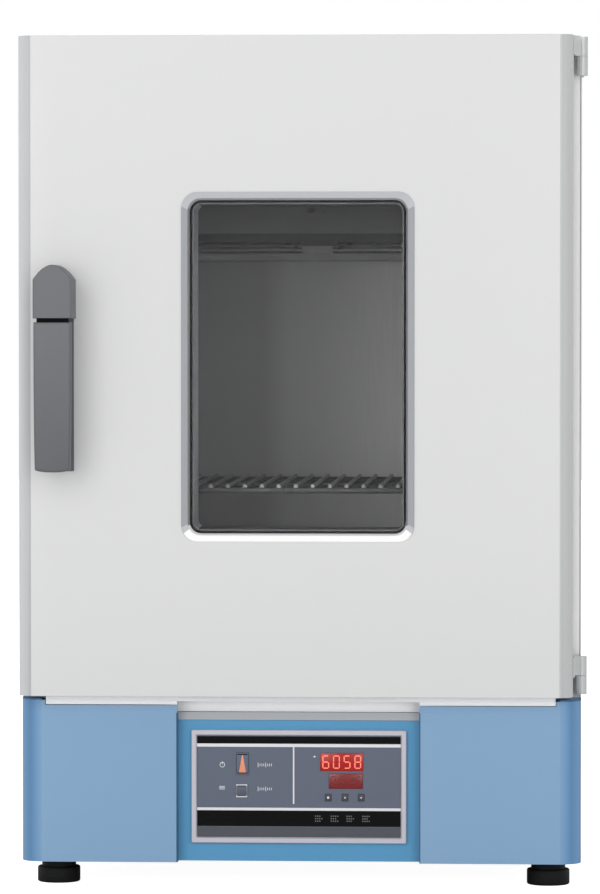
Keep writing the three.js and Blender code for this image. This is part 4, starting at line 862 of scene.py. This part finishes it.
# Painted highlight: the fan rocker's rim is white all round
dress(PRINT_AND_HIGHLIGHT_WHITE, "fan_switch_frame")
ROCKER = grained(
    "rocker_plastic", (84, 91, 108), (74, 81, 97), 1800.0, rough=0.38, bump=0.1, depth=0.00004,
)
ROCKER_SOFT = 0.0005
RIB_INSET, RIB_TALL = 0.0016, 0.0004
RIB_SHARES = (0.2, 0.3, 0.4)
low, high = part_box("fan_rocker")
bm = bmesh.new()
rounded_slab(bm, low, high, soft=ROCKER_SOFT, soft_steps=3)
for share in RIB_SHARES:
    z = low.z + (high.z - low.z) * share
    rounded_slab(bm, (low.x + RIB_INSET, low.y - INK * 2, z), (high.x - RIB_INSET, low.y, z + RIB_TALL))
shaped("fan_rocker_cap", bm, ROCKER, "fan_switch", ["fan_rocker"])
KEY = grained(
    "key_plastic", (62, 64, 70), (52, 54, 60), 1800.0, rough=0.42, bump=0.1, depth=0.00004,
)
KEY_SOFT = 0.0004
SIGN = 0.0012
KEYS = {
    # node: body, corners of its sign, angle of the sign's first corner
    "set_key": ("set_button", 16, math.pi / 2),
    "raise_key": ("raise_button", 3, math.pi / 2),
    "lower_key": ("lower_button", 3, -math.pi / 2),
}
for node, (body, corners, start) in KEYS.items():
    low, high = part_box(node)
    block(f"{node}_cap", low, high, KEY, body, "panel_grey", [node], soft=KEY_SOFT, soft_steps=3)
    outline = polygon((low.x + high.x) / 2, (low.z + high.z) / 2, SIGN, corners, start)
    bm = bmesh.new()
    hooped(bm, [(low.y, outline), (low.y - INK, outline)], caps=(1,))
    shaped(f"{node}_sign", bm, PRINT_AND_HIGHLIGHT_WHITE, body)

# Cabinet
# The outer wrap is one white powder-coated sheet, folded round the top, the sides and the bottom.
# A flanged front frame and a flat rear panel close it, and the wool fills what is left inside.
WHITE = painted(
    "white_paint", (222, 222, 222), (214, 215, 215), 1100.0, rough=0.36, bump=0.08, depth=0.0001,
)
WRAP_ROUND = 0.003
LIP_ROUND = 0.0008
bm = rimmed((shell_low, shell_high), [(inset, y, WRAP_ROUND) for inset, y in (
    (SHEET, shell_low.y + LIP_ROUND), (SHEET - LIP_ROUND / 2, shell_low.y), (LIP_ROUND, shell_low.y),
    (LIP_ROUND / 3, shell_low.y + LIP_ROUND / 3), (0, shell_low.y + LIP_ROUND),
    (0, shell_high.y - LIP_ROUND), (LIP_ROUND / 3, shell_high.y - LIP_ROUND / 3),
    (LIP_ROUND, shell_high.y), (SHEET, shell_high.y),
)], steps=6)
shaped("cabinet_wrap", bm, WHITE, "cabinet", ["cabinet_shell"])
dress(WHITE, "rear_panel", "motor_cover")
# Painted light: a brighter white than the door's, which lifts the front frame and the sill out of the door's
# shadow and gives the bezel's lower bar its highlight
PAINTED_LIGHT_WHITE = painted("white_painted_light", (254, 254, 254), (250, 250, 250), 1100.0, rough=0.4, bump=0.06, depth=0.0001)
dress(PAINTED_LIGHT_WHITE, "front_frame")
WOOL = grained(
    "mineral_wool", (196, 186, 150), (158, 146, 108), 240.0, stretch=(1, 3, 1), mottle=0.9, rough=0.9,
    bump=0.8, depth=0.0008,
)
dress(WOOL, "insulation_jacket", "insulation_rear")

# Sill
# A white painted sheet lid closes the base under the door. A hem along the top of its front edge
# stands a little proud of it. Both take the brighter white, painted light against the door's shadow.
HEM_RISE = 0.0032
HEM_OVERLAP = 0.002
HEM_PROUD = 0.0004
HEM_THICK = 0.003
dress(PAINTED_LIGHT_WHITE, "front_sill")
low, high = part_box("front_sill")
block(
    "sill_hem", (low.x, low.y - HEM_PROUD, high.z - HEM_OVERLAP),
    (high.x, low.y + HEM_THICK, high.z + HEM_RISE), PAINTED_LIGHT_WHITE, "cabinet", "white_paint", soft=HEM_PROUD,
)

# Rear fittings
# Pan-head screws hold the rear panel, which carries the ventilated cover of the fan motor. Next
# to the cover stands the vent, a steel tube with a round damper that is turned by a small knob.
REAR_ROWS = 5
REAR_SHARES = (0.25, 0.5, 0.75)
low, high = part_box("rear_panel")
row_pitch = (high.z - low.z - 2 * SCREW_INSET) / (REAR_ROWS - 1)
screw_heads("rear_panel_screws", [
    (x, high.y, low.z + SCREW_INSET + i * row_pitch)
    for x in (low.x + SCREW_INSET, high.x - SCREW_INSET) for i in range(REAR_ROWS)
] + [
    (low.x + (high.x - low.x) * share, high.y, z)
    for share in REAR_SHARES for z in (low.z + SCREW_INSET, high.z - SCREW_INSET)
], (0, 1, 0), STEEL, "cabinet")
dress(STEEL, "vent_tube", "vent_damper")
dress(DARK_STEEL, "fan_motor")

# Working chamber
# A welded stainless box, brushed from front to back, holds the air. A pierced cover hides the fan
# wheel and the tubular heater behind it, and ladders hooked on the side walls carry the shelf.
CHAMBER_SHADED = grained(
    "chamber_steel_painted_shade", (116, 116, 117), (160, 160, 162), 320.0, stretch=(1, 1, 0.06), mottle=0.35, rough=0.5,
    spread=0.12, bump=0.02, depth=0.00003, metal=0.2,
)
chamber_low, chamber_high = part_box("inner_chamber")
# Painted shade: the steel is darker towards the left of the chamber and lighter towards the right
ramped(
    CHAMBER_SHADED, "X", chamber_low.x, chamber_high.x,
    [(0.36, (150, 150, 151)), (0.42, (182, 182, 183)), (0.75, (226, 226, 226)), (1.0, (218, 218, 218))],
)
dress(CHAMBER_SHADED, "inner_chamber")
STAINLESS = grained(
    "stainless", (142, 143, 144), (122, 123, 125), 320.0, stretch=(1, 1, 0.06), mottle=0.55, rough=0.36,
    spread=0.12, bump=0.02, depth=0.00003, metal=0.8,
)
dress(STAINLESS, "rack_left", "rack_right", "fan_wheel")
DUCT_SHADED = grained(
    "duct_steel_painted_shade", (150, 150, 152), (62, 63, 65), 320.0, stretch=(0.06, 1, 1), mottle=0.55, rough=0.45,
    spread=0.14, bump=0.03, depth=0.00004, metal=0.3,
)
# Painted shade: a dark band runs along the cover near its lower edge, with soft ends above and
# below, and the cover is darker again higher up.
SHADE_BAND_LOW = 0.016
SHADE_BAND_TOP = 0.030
SHADE_BAND_BLUR = 0.004
duct_low, duct_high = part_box("air_duct_cover")
shade_from, shade_to = (height / (duct_high.z - duct_low.z) for height in (SHADE_BAND_LOW, SHADE_BAND_TOP))
ramped(
    DUCT_SHADED, "Z", duct_low.z, duct_high.z,
    [(shade_from, (150, 150, 152)), (shade_from + SHADE_BAND_BLUR, (60, 61, 62)), (shade_to, (60, 61, 62)),
     (shade_to + SHADE_BAND_BLUR, (128, 129, 130)), (0.6, (96, 97, 98))],
)
dress(DUCT_SHADED, "air_duct_cover")
dress(STEEL, "fan_shaft", "temperature_probe")
HEATER = grained(
    "heater_sheath", (104, 98, 94), (78, 72, 70), 800.0, mottle=0.8, rough=0.5, spread=0.15, bump=0.15,
    depth=0.0001, metal=0.7,
)
dress(HEATER, "heating_element")

# Wire shelf
# Drawn stainless wires run from front to back and are spot welded on a heavier frame, which lies on
# a pair of ledges.
# Painted shade: the frame takes a darker copy of the wires' steel
SHELF_FRAME_SHADE = grained(
    "shelf_frame_painted_shade", (78, 79, 80), (66, 67, 69), 320.0, mottle=0.5, rough=0.45, spread=0.12, bump=0.03,
    depth=0.00004, metal=0.3,
)
SHELF_WIRE = grained(
    "shelf_wire", (150, 151, 152), (132, 133, 135), 900.0, mottle=0.4, rough=0.4, spread=0.1, bump=0.05,
    depth=0.00004, metal=0.5,
)
FRAME_WIRE = 0.0032
BAR_WIRE = 0.0022
BAR_PITCH = 0.018
WIRE_SIDES = 14
WIRE_SHARP = math.radians(50)


def wire(bm, start, end, radius):
    """A straight round wire with flat ends."""
    start, end = Vector(start), Vector(end)
    turn = Vector((0, 0, 1)).rotation_difference(end - start).to_matrix().to_4x4()
    bmesh.ops.create_cone(
        bm, cap_ends=True, segments=WIRE_SIDES, radius1=radius, radius2=radius, depth=(end - start).length,
        matrix=Matrix.Translation((start + end) / 2) @ turn,
    )


low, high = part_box("wire_shelf")
frame_z, bar_z = low.z + FRAME_WIRE, high.z - BAR_WIRE
x0, x1 = low.x + FRAME_WIRE, high.x - FRAME_WIRE
y0, y1 = low.y + FRAME_WIRE, high.y - FRAME_WIRE
bm = bmesh.new()
for x in (x0, x1):
    wire(bm, (x, low.y, frame_z), (x, high.y, frame_z), FRAME_WIRE)
for y in (y0, (y0 + y1) / 2, y1):
    wire(bm, (x0, y, frame_z), (x1, y, frame_z), FRAME_WIRE)
shaped("wire_shelf_frame", bm, SHELF_FRAME_SHADE, "shelf", ["wire_shelf"], sharp=WIRE_SHARP)
bm = bmesh.new()
bars = int((x1 - x0 - BAR_PITCH) / BAR_PITCH)
for i in range(bars):
    x = (x0 + x1) / 2 + (i - (bars - 1) / 2) * BAR_PITCH
    wire(bm, (x, y0 - BAR_WIRE / 2, bar_z), (x, y1 + BAR_WIRE / 2, bar_z), BAR_WIRE)
shaped("wire_shelf_bars", bm, SHELF_WIRE, "shelf", sharp=WIRE_SHARP)

# Door skin
# A folded white steel tray with a wide radius down both upright edges. A shallow crease runs
# along each radius where the flat of the door begins, and the window is cut out of the flat.
EDGE_ROUND = 0.0135
EDGE_STEPS = 12
CREASE = 0.0009
FLAT_EASE = 0.0012
DOOR_SOFT = 0.0022
DOOR_SHARP = math.radians(28)
HOLE_UNDER = 0.0052
ARM_HOLE = (-0.2592, -0.2508, 0.5831, 0.6058)
skin_low, skin_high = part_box("door_skin")
bezel_low, bezel_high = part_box("window_bezel")
flat_left, flat_right = skin_low.x + EDGE_ROUND, skin_high.x - EDGE_ROUND
edge_deep = EDGE_ROUND - CREASE
edge_back = skin_low.y + EDGE_ROUND
crease_y = skin_low.y + CREASE / 4
plan = [
    (skin_low.x, skin_high.y),
    *quarter(flat_left, edge_back, EDGE_ROUND, edge_deep, math.pi, EDGE_STEPS),
    (flat_left + CREASE / 3, crease_y), (flat_left + FLAT_EASE, skin_low.y),
    (flat_right - FLAT_EASE, skin_low.y), (flat_right - CREASE / 3, crease_y),
    *quarter(flat_right, edge_back, EDGE_ROUND, edge_deep, 1.5 * math.pi, EDGE_STEPS),
    (skin_high.x, skin_high.y),
]
bm = bmesh.new()
tray = bm.faces.new([bm.verts.new((x, y, skin_low.z)) for x, y in plan])
made = bmesh.ops.extrude_face_region(bm, geom=[tray])["geom"]
made = [part for part in made if isinstance(part, bmesh.types.BMVert)]
bmesh.ops.translate(bm, vec=(0, 0, skin_high.z - skin_low.z), verts=made)
bmesh.ops.recalc_face_normals(bm, faces=bm.faces)
rims = [
    e for e in bm.edges
    if abs(e.verts[0].co.z - e.verts[1].co.z) < NEAR and min(v.co.y for v in e.verts) < skin_high.y - NEAR
]
rounded_off(bm, rims, DOOR_SOFT, steps=4)
back_faces = [f for f in bm.faces if f.normal.y > SQUARE_ON and f.calc_center_median().y > skin_high.y - NEAR]
bmesh.ops.delete(bm, geom=back_faces, context="FACES")
cut_out(
    bm, bezel_low.x + HOLE_UNDER, bezel_high.x - HOLE_UNDER,
    bezel_low.z + HOLE_UNDER, bezel_high.z - HOLE_UNDER,
)
cut_out(bm, *ARM_HOLE)
bmesh.ops.solidify(bm, geom=bm.faces[:], thickness=SHEET)
skin = shaped("door_outer_skin", bm, WHITE, "door", ["door_skin"], sharp=DOOR_SHARP)
# Painted shade on the bent edges of the door, greyer than its flat face and different on each side,
# with a painted highlight towards the outer edge on the left
for name, colour, stops in (
    ("edge_left_painted_shade", (181, 182, 183), [(1.0, (232, 233, 235))]),
    ("edge_right_painted_shade", (205, 206, 206), [(0.15, (185, 186, 187)), (1.0, (206, 206, 206))]),
):
    edge_shade_look = painted(
        name, colour, (180, 181, 182), 1100.0, mottle=0.3, rough=0.36, bump=0.08, depth=0.0001,
    )
    ramped(
        edge_shade_look, "X", (flat_right - flat_left) / 2, (skin_high.x - skin_low.x) / 2, stops,
        middle=(flat_left + flat_right) / 2, mirrored=True,
    )
    skin.data.materials.append(edge_shade_look)
SEEN_LEAN = 0.05
for face in skin.data.polygons:
    if face.normal.y < -SEEN_LEAN and not flat_left - NEAR < face.center.x < flat_right + NEAR:
        face.material_index = 1 if face.center.x < flat_left else 2

# Inner panel and gasket
# The stainless inner panel is pressed so that its middle stands into the chamber's mouth. Wool
# fills the door behind it, and a hollow silicone gasket lies round it.
dress(STAINLESS, "door_inner_panel")
dress(WOOL, "door_insulation")
SILICONE = grained(
    "silicone", (196, 196, 192), (180, 180, 176), 1500.0, rough=0.6, bump=0.2, depth=0.0001,
)
GASKET_WIDTH = 0.014
GASKET_ROUND = 0.018
BULB_ROUND = 0.0018
low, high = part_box("door_gasket")
bm = rimmed((low, high), [(inset, y, GASKET_ROUND - inset / 2) for inset, y in (
    (0, low.y), (0, high.y - BULB_ROUND), (BULB_ROUND / 3, high.y - BULB_ROUND / 3), (BULB_ROUND, high.y),
    (GASKET_WIDTH - BULB_ROUND, high.y), (GASKET_WIDTH - BULB_ROUND / 3, high.y - BULB_ROUND / 3),
    (GASKET_WIDTH, high.y - BULB_ROUND), (GASKET_WIDTH, low.y),
)], steps=6)
shaped("door_seal", bm, SILICONE, "door", ["door_gasket"])

# Window
# Two panes of toughened glass with a silver tunnel between them. A rolled silver bezel with a
# wide chamfer is pressed into the cut-out and holds the outer pane.
BEZEL = grained(
    "bezel_silver", (188, 189, 194), (178, 179, 184), 900.0, mottle=0.3, rough=0.42, spread=0.06, bump=0.04,
    depth=0.00004, metal=0.1,
)
BEZEL_ROUND = 0.017
INNER_ROUND = 0.0135
MOUTH_ROUND = 0.012
BEZEL_BORDER = 0.0085
BEZEL_BEAD = 0.0007
BEZEL_SEAT = 0.0008
BEZEL_FLAT = 0.0066
BEZEL_FALL = 0.001
SLEEVE = 0.0055
SEAM = 0.0005
BEZEL_SHARP = math.radians(11)
bm = rimmed((bezel_low, bezel_high), [
    (SEAM, skin_low.y, BEZEL_ROUND), (0, skin_low.y - BEZEL_BEAD / 2, BEZEL_ROUND),
    (BEZEL_BEAD / 2, bezel_low.y, BEZEL_ROUND - BEZEL_BEAD / 2),
    (BEZEL_FLAT, bezel_low.y + BEZEL_FALL, INNER_ROUND),
    (BEZEL_BORDER, bezel_high.y - BEZEL_SEAT, MOUTH_ROUND), (BEZEL_BORDER, bezel_high.y, MOUTH_ROUND),
    (SLEEVE, bezel_high.y, INNER_ROUND), (SLEEVE, skin_low.y + SHEET, INNER_ROUND),
    (SLEEVE - SEAM, skin_low.y, INNER_ROUND),
], steps=12)
surround = shaped("window_surround", bm, BEZEL, "door", ["window_bezel"], sharp=BEZEL_SHARP)
# Painted shade on the sides, a darker copy of the bezel's silver, and a painted highlight on the lower
# bar, in the brighter white
BEZEL_SIDE_SHADE = grained(
    "bezel_side_painted_shade", (160, 161, 166), (150, 151, 156), 900.0, mottle=0.3, rough=0.5, spread=0.06, bump=0.04,
    depth=0.00004, metal=0.1,
)
surround.data.materials.append(BEZEL_SIDE_SHADE)
surround.data.materials.append(PAINTED_LIGHT_WHITE)
bezel_mid = (bezel_low + bezel_high) / 2
half_wide, half_tall = (bezel_high.x - bezel_low.x) / 2, (bezel_high.z - bezel_low.z) / 2
for face in surround.data.polygons:
    across, up = face.center.x - bezel_mid.x, face.center.z - bezel_mid.z
    if abs(up) < half_tall - BEZEL_ROUND:
        face.material_index = 1
    elif up < 0 and abs(across) < half_wide - BEZEL_ROUND / 3:
        face.material_index = 2
TUNNEL = grained(
    "tunnel_silver", (205, 208, 213), (176, 179, 184), 500.0, stretch=(1, 0.1, 1), mottle=0.5, rough=0.35,
    spread=0.1, bump=0.04, depth=0.00004, metal=0.7,
)
TUNNEL_SHADE = grained(
    "tunnel_painted_shade", (88, 89, 91), (76, 77, 79), 500.0, stretch=(1, 0.1, 1), mottle=0.5, rough=0.5, spread=0.1,
    bump=0.04, depth=0.00004, metal=0.2,
)
# Painted shade: the tunnel is dark on all walls but the one facing right, which keeps the silver
dress(TUNNEL_SHADE, "window_spacer")
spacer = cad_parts["window_spacer"].data
spacer.materials.append(TUNNEL)
for face in spacer.polygons:
    if face.normal.x > 0.5 and face.center.x < 0:
        face.material_index = 1


def pane_glass(name, tint):
    """Clear glass that lets the light through without casting a shadow."""
    look, tree, shader = new_look(name)
    preset(shader, {
        "Base Color": (*tint, 1), "Metallic": 0.0, "Transmission Weight": 1.0, "IOR": 1.2,
    })
    grain = tree.nodes.new("ShaderNodeGroup")
    grain.node_tree = GRAIN
    preset(grain, {"Scale": 60.0, "Roughness": 0.0, "Spread": 0.004})
    tree.links.new(grain.outputs["Roughness"], shader.inputs["Roughness"])
    clear = tree.nodes.new("ShaderNodeBsdfTransparent")
    preset(clear, {"Color": (*tint, 1)})
    ray = tree.nodes.new("ShaderNodeLightPath")
    mix = tree.nodes.new("ShaderNodeMixShader")
    tree.links.new(ray.outputs["Is Shadow Ray"], mix.inputs["Fac"])
    tree.links.new(shader.outputs["BSDF"], mix.inputs[1])
    tree.links.new(clear.outputs["BSDF"], mix.inputs[2])
    tree.links.new(mix.outputs["Shader"], tree.nodes["Material Output"].inputs["Surface"])
    return look


GLASS = pane_glass("window_glass", (0.93, 0.93, 0.93))
PANE_SOFT = 0.0005
PANE_ROUND = 0.0145
for node in ("outer_glass", "inner_glass"):
    low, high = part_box(node)
    bm = rimmed((low, high), [(inset, y, PANE_ROUND) for inset, y in (
        (PANE_SOFT, low.y), (0, low.y + PANE_SOFT), (0, high.y - PANE_SOFT), (PANE_SOFT, high.y),
    )], steps=8, closed=False, caps=(0, 1))
    shaped(f"{node}_pane", bm, GLASS, "door", [node])

# Handle
# A moulded grey cap with a gothic top stands on a back plate. The grip below it turns on a steel
# pin in the cap, and its arm draws the latch bar from the keeper in the frame. Its head is black,
# painted shade in the slot under the cap.
HANDLE_LIT_GREY = grained(
    "handle_grey_painted_light", (92, 94, 97), (94, 96, 100), 1300.0, mottle=0.6, rough=0.5, spread=0.1, bump=0.2,
    depth=0.00008,
)
housing_low, housing_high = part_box("handle_housing")
lever_low, lever_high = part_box("handle_lever")
# Painted light: the grey lightens from the foot of the grip towards its top
ramped(HANDLE_LIT_GREY, "Z", lever_low.z, lever_high.z, [(0.8, (110, 112, 116))])
pin_low, pin_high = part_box("lever_pin")
pivot = (pin_low + pin_high) / 2
CAP_DROP = 0.006
CAP_WALL = 0.0025
CAP_SOFT = 0.0022
ARCH = 0.0152
ARCH_POWER = 1.9
ARCH_STEPS = 32
FACING_DOWN = 0.9
PLATE_THICK = 0.002
PLATE_INSET = 0.002
EASE_SHARES = ((0, 1), (0.08, 0.6), (0.3, 0.3), (0.6, 0.08), (1, 0))
cap_bottom = pivot.z - CAP_DROP


def arched(inset, low):
    """The outline of the cap and its back plate: square below, a soft point on top."""
    half = (housing_high.x - housing_low.x) / 2 - inset
    shoulder = housing_high.z - ARCH
    crown = [
        (pivot.x + half * u, shoulder + (ARCH - inset) * (1 - abs(u) ** ARCH_POWER))
        for u in (math.cos(i * math.pi / ARCH_STEPS) for i in range(ARCH_STEPS + 1))
    ]
    return [(pivot.x - half, low), (pivot.x + half, low)] + crown


bm = bmesh.new()
hooped(bm, [
    (housing_low.y + CAP_SOFT * back, arched(CAP_SOFT * inset, cap_bottom + CAP_SOFT * inset / 4))
    for back, inset in EASE_SHARES
] + [(housing_high.y, arched(0, cap_bottom))], caps=(0,))
bmesh.ops.recalc_face_normals(bm, faces=bm.faces)
under = [f for f in bm.faces if f.normal.z < -FACING_DOWN]
bmesh.ops.delete(bm, geom=under, context="FACES")
bmesh.ops.solidify(bm, geom=bm.faces[:], thickness=CAP_WALL)
shaped("handle_cap", bm, HANDLE_LIT_GREY, "door", ["handle_housing"])
bm = bmesh.new()
plate_y = housing_high.y - PLATE_THICK
bm.faces.new([bm.verts.new((x, plate_y, z)) for x, z in arched(PLATE_INSET, housing_low.z)])
cut_out(bm, *ARM_HOLE)
bmesh.ops.recalc_face_normals(bm, faces=bm.faces)
if bm.faces[:][0].normal.y > 0:
    bmesh.ops.reverse_faces(bm, faces=bm.faces)
bmesh.ops.solidify(bm, geom=bm.faces[:], thickness=PLATE_THICK)
shaped("handle_back_plate", bm, HANDLE_LIT_GREY, "door")

GRIP_DROP = 0.010
GRIP_THICK = 0.018
GRIP_SOFT = 0.0026
GRIP_TAPER = 0.0012
GRIP_SAG = 0.0028
SIDE_STEPS = 10
grip_top = pivot.z - GRIP_DROP
grip_back = lever_low.y + GRIP_THICK


def grip_outline(inset):
    """Nearly straight sides that draw in below, and a bottom edge that bellies down."""
    half = (lever_high.x - lever_low.x) / 2 - inset
    foot = lever_low.z + inset
    straight = grip_top - inset - foot - GRIP_SAG
    side = [
        (half - GRIP_TAPER * (1 - i / SIDE_STEPS) ** 3, foot + GRIP_SAG + straight * i / SIDE_STEPS)
        for i in range(SIDE_STEPS + 1)
    ]
    angles = [i * math.pi / SIDE_STEPS for i in range(1, SIDE_STEPS)]
    belly = [
        ((half - GRIP_TAPER) * math.cos(angle), foot + GRIP_SAG * (1 - math.sin(angle))) for angle in angles
    ]
    return [(pivot.x + x, z) for x, z in side] + [(pivot.x - x, z) for x, z in side[::-1] + belly]


bm = bmesh.new()
hooped(bm, [
    (lever_low.y + GRIP_SOFT * back, grip_outline(GRIP_SOFT * inset)) for back, inset in EASE_SHARES
] + [
    (grip_back - GRIP_SOFT * back, grip_outline(GRIP_SOFT * inset)) for back, inset in reversed(EASE_SHARES)
], caps=(0, 1))
HEAD_BACK = 0.008
ARM_HALF = 0.003
ARM_SOFT = 0.0004
ARM_SUNK = 0.0005
rounded_slab(
    bm, (pivot.x - ARM_HALF, pivot.y + HEAD_BACK - ARM_SUNK, pivot.z - ARM_HALF),
    (pivot.x + ARM_HALF, lever_high.y, pivot.z + ARM_HALF), soft=ARM_SOFT,
)
TIP = 0.0025
TIP_REACH = 0.002
arm_end = lever_high.y - ARM_HALF
tip_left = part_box("latch_bar")[0].x - TIP_REACH
wire(bm, (tip_left, arm_end, pivot.z), (pivot.x, arm_end, pivot.z), TIP)
shaped("handle_grip", bm, HANDLE_LIT_GREY, "handle", ["handle_lever"])
HEAD = Vector((0.0165, 0.0035, 0.006))
HEAD_SOFT = 0.0006
HEAD_SUNK = 0.0025
# Painted shade: the head is black to fill the slot under the cap with shadow
block(
    "handle_head", (pivot.x - HEAD.x, pivot.y - HEAD.y, grip_top - HEAD_SUNK),
    (pivot.x + HEAD.x, pivot.y + HEAD_BACK, pivot.z + HEAD.z), PRINT_AND_SHADE_BLACK, "handle", "black_plastic",
    soft=HEAD_SOFT,
)
dress(STEEL, "lever_pin", "latch_bar", "keeper")

# Hinges
# Two pressed steel hinges with capped pins: one leaf is screwed to the cabinet's side, the other
# to the side of the door, and two small screws by each hinge show on the door's radius.
HINGE = grained(
    "hinge_plate", (204, 206, 206), (190, 192, 193), 700.0, mottle=0.5, rough=0.4, spread=0.08, bump=0.08,
    depth=0.00006, metal=0.25,
)
dress(HINGE, "hinge_upper_cabinet", "hinge_upper_door", "hinge_lower_cabinet", "hinge_lower_door")
EDGE_SCREW = 0.0016
SCREW_TURN = math.radians(-35)
SCREW_DROPS = (0.028, 0.035)
lean_x, lean_y = math.cos(SCREW_TURN), math.sin(SCREW_TURN)
screw_x, screw_y = flat_right + EDGE_ROUND * lean_x, edge_back + edge_deep * lean_y
screw_heads("door_edge_screws", [
    (screw_x, screw_y, skin_high.z - drop) for drop in SCREW_DROPS
] + [
    (screw_x, screw_y, skin_low.z + drop) for drop in SCREW_DROPS
], (lean_x, lean_y, 0), HINGE, "door", head=EDGE_SCREW)
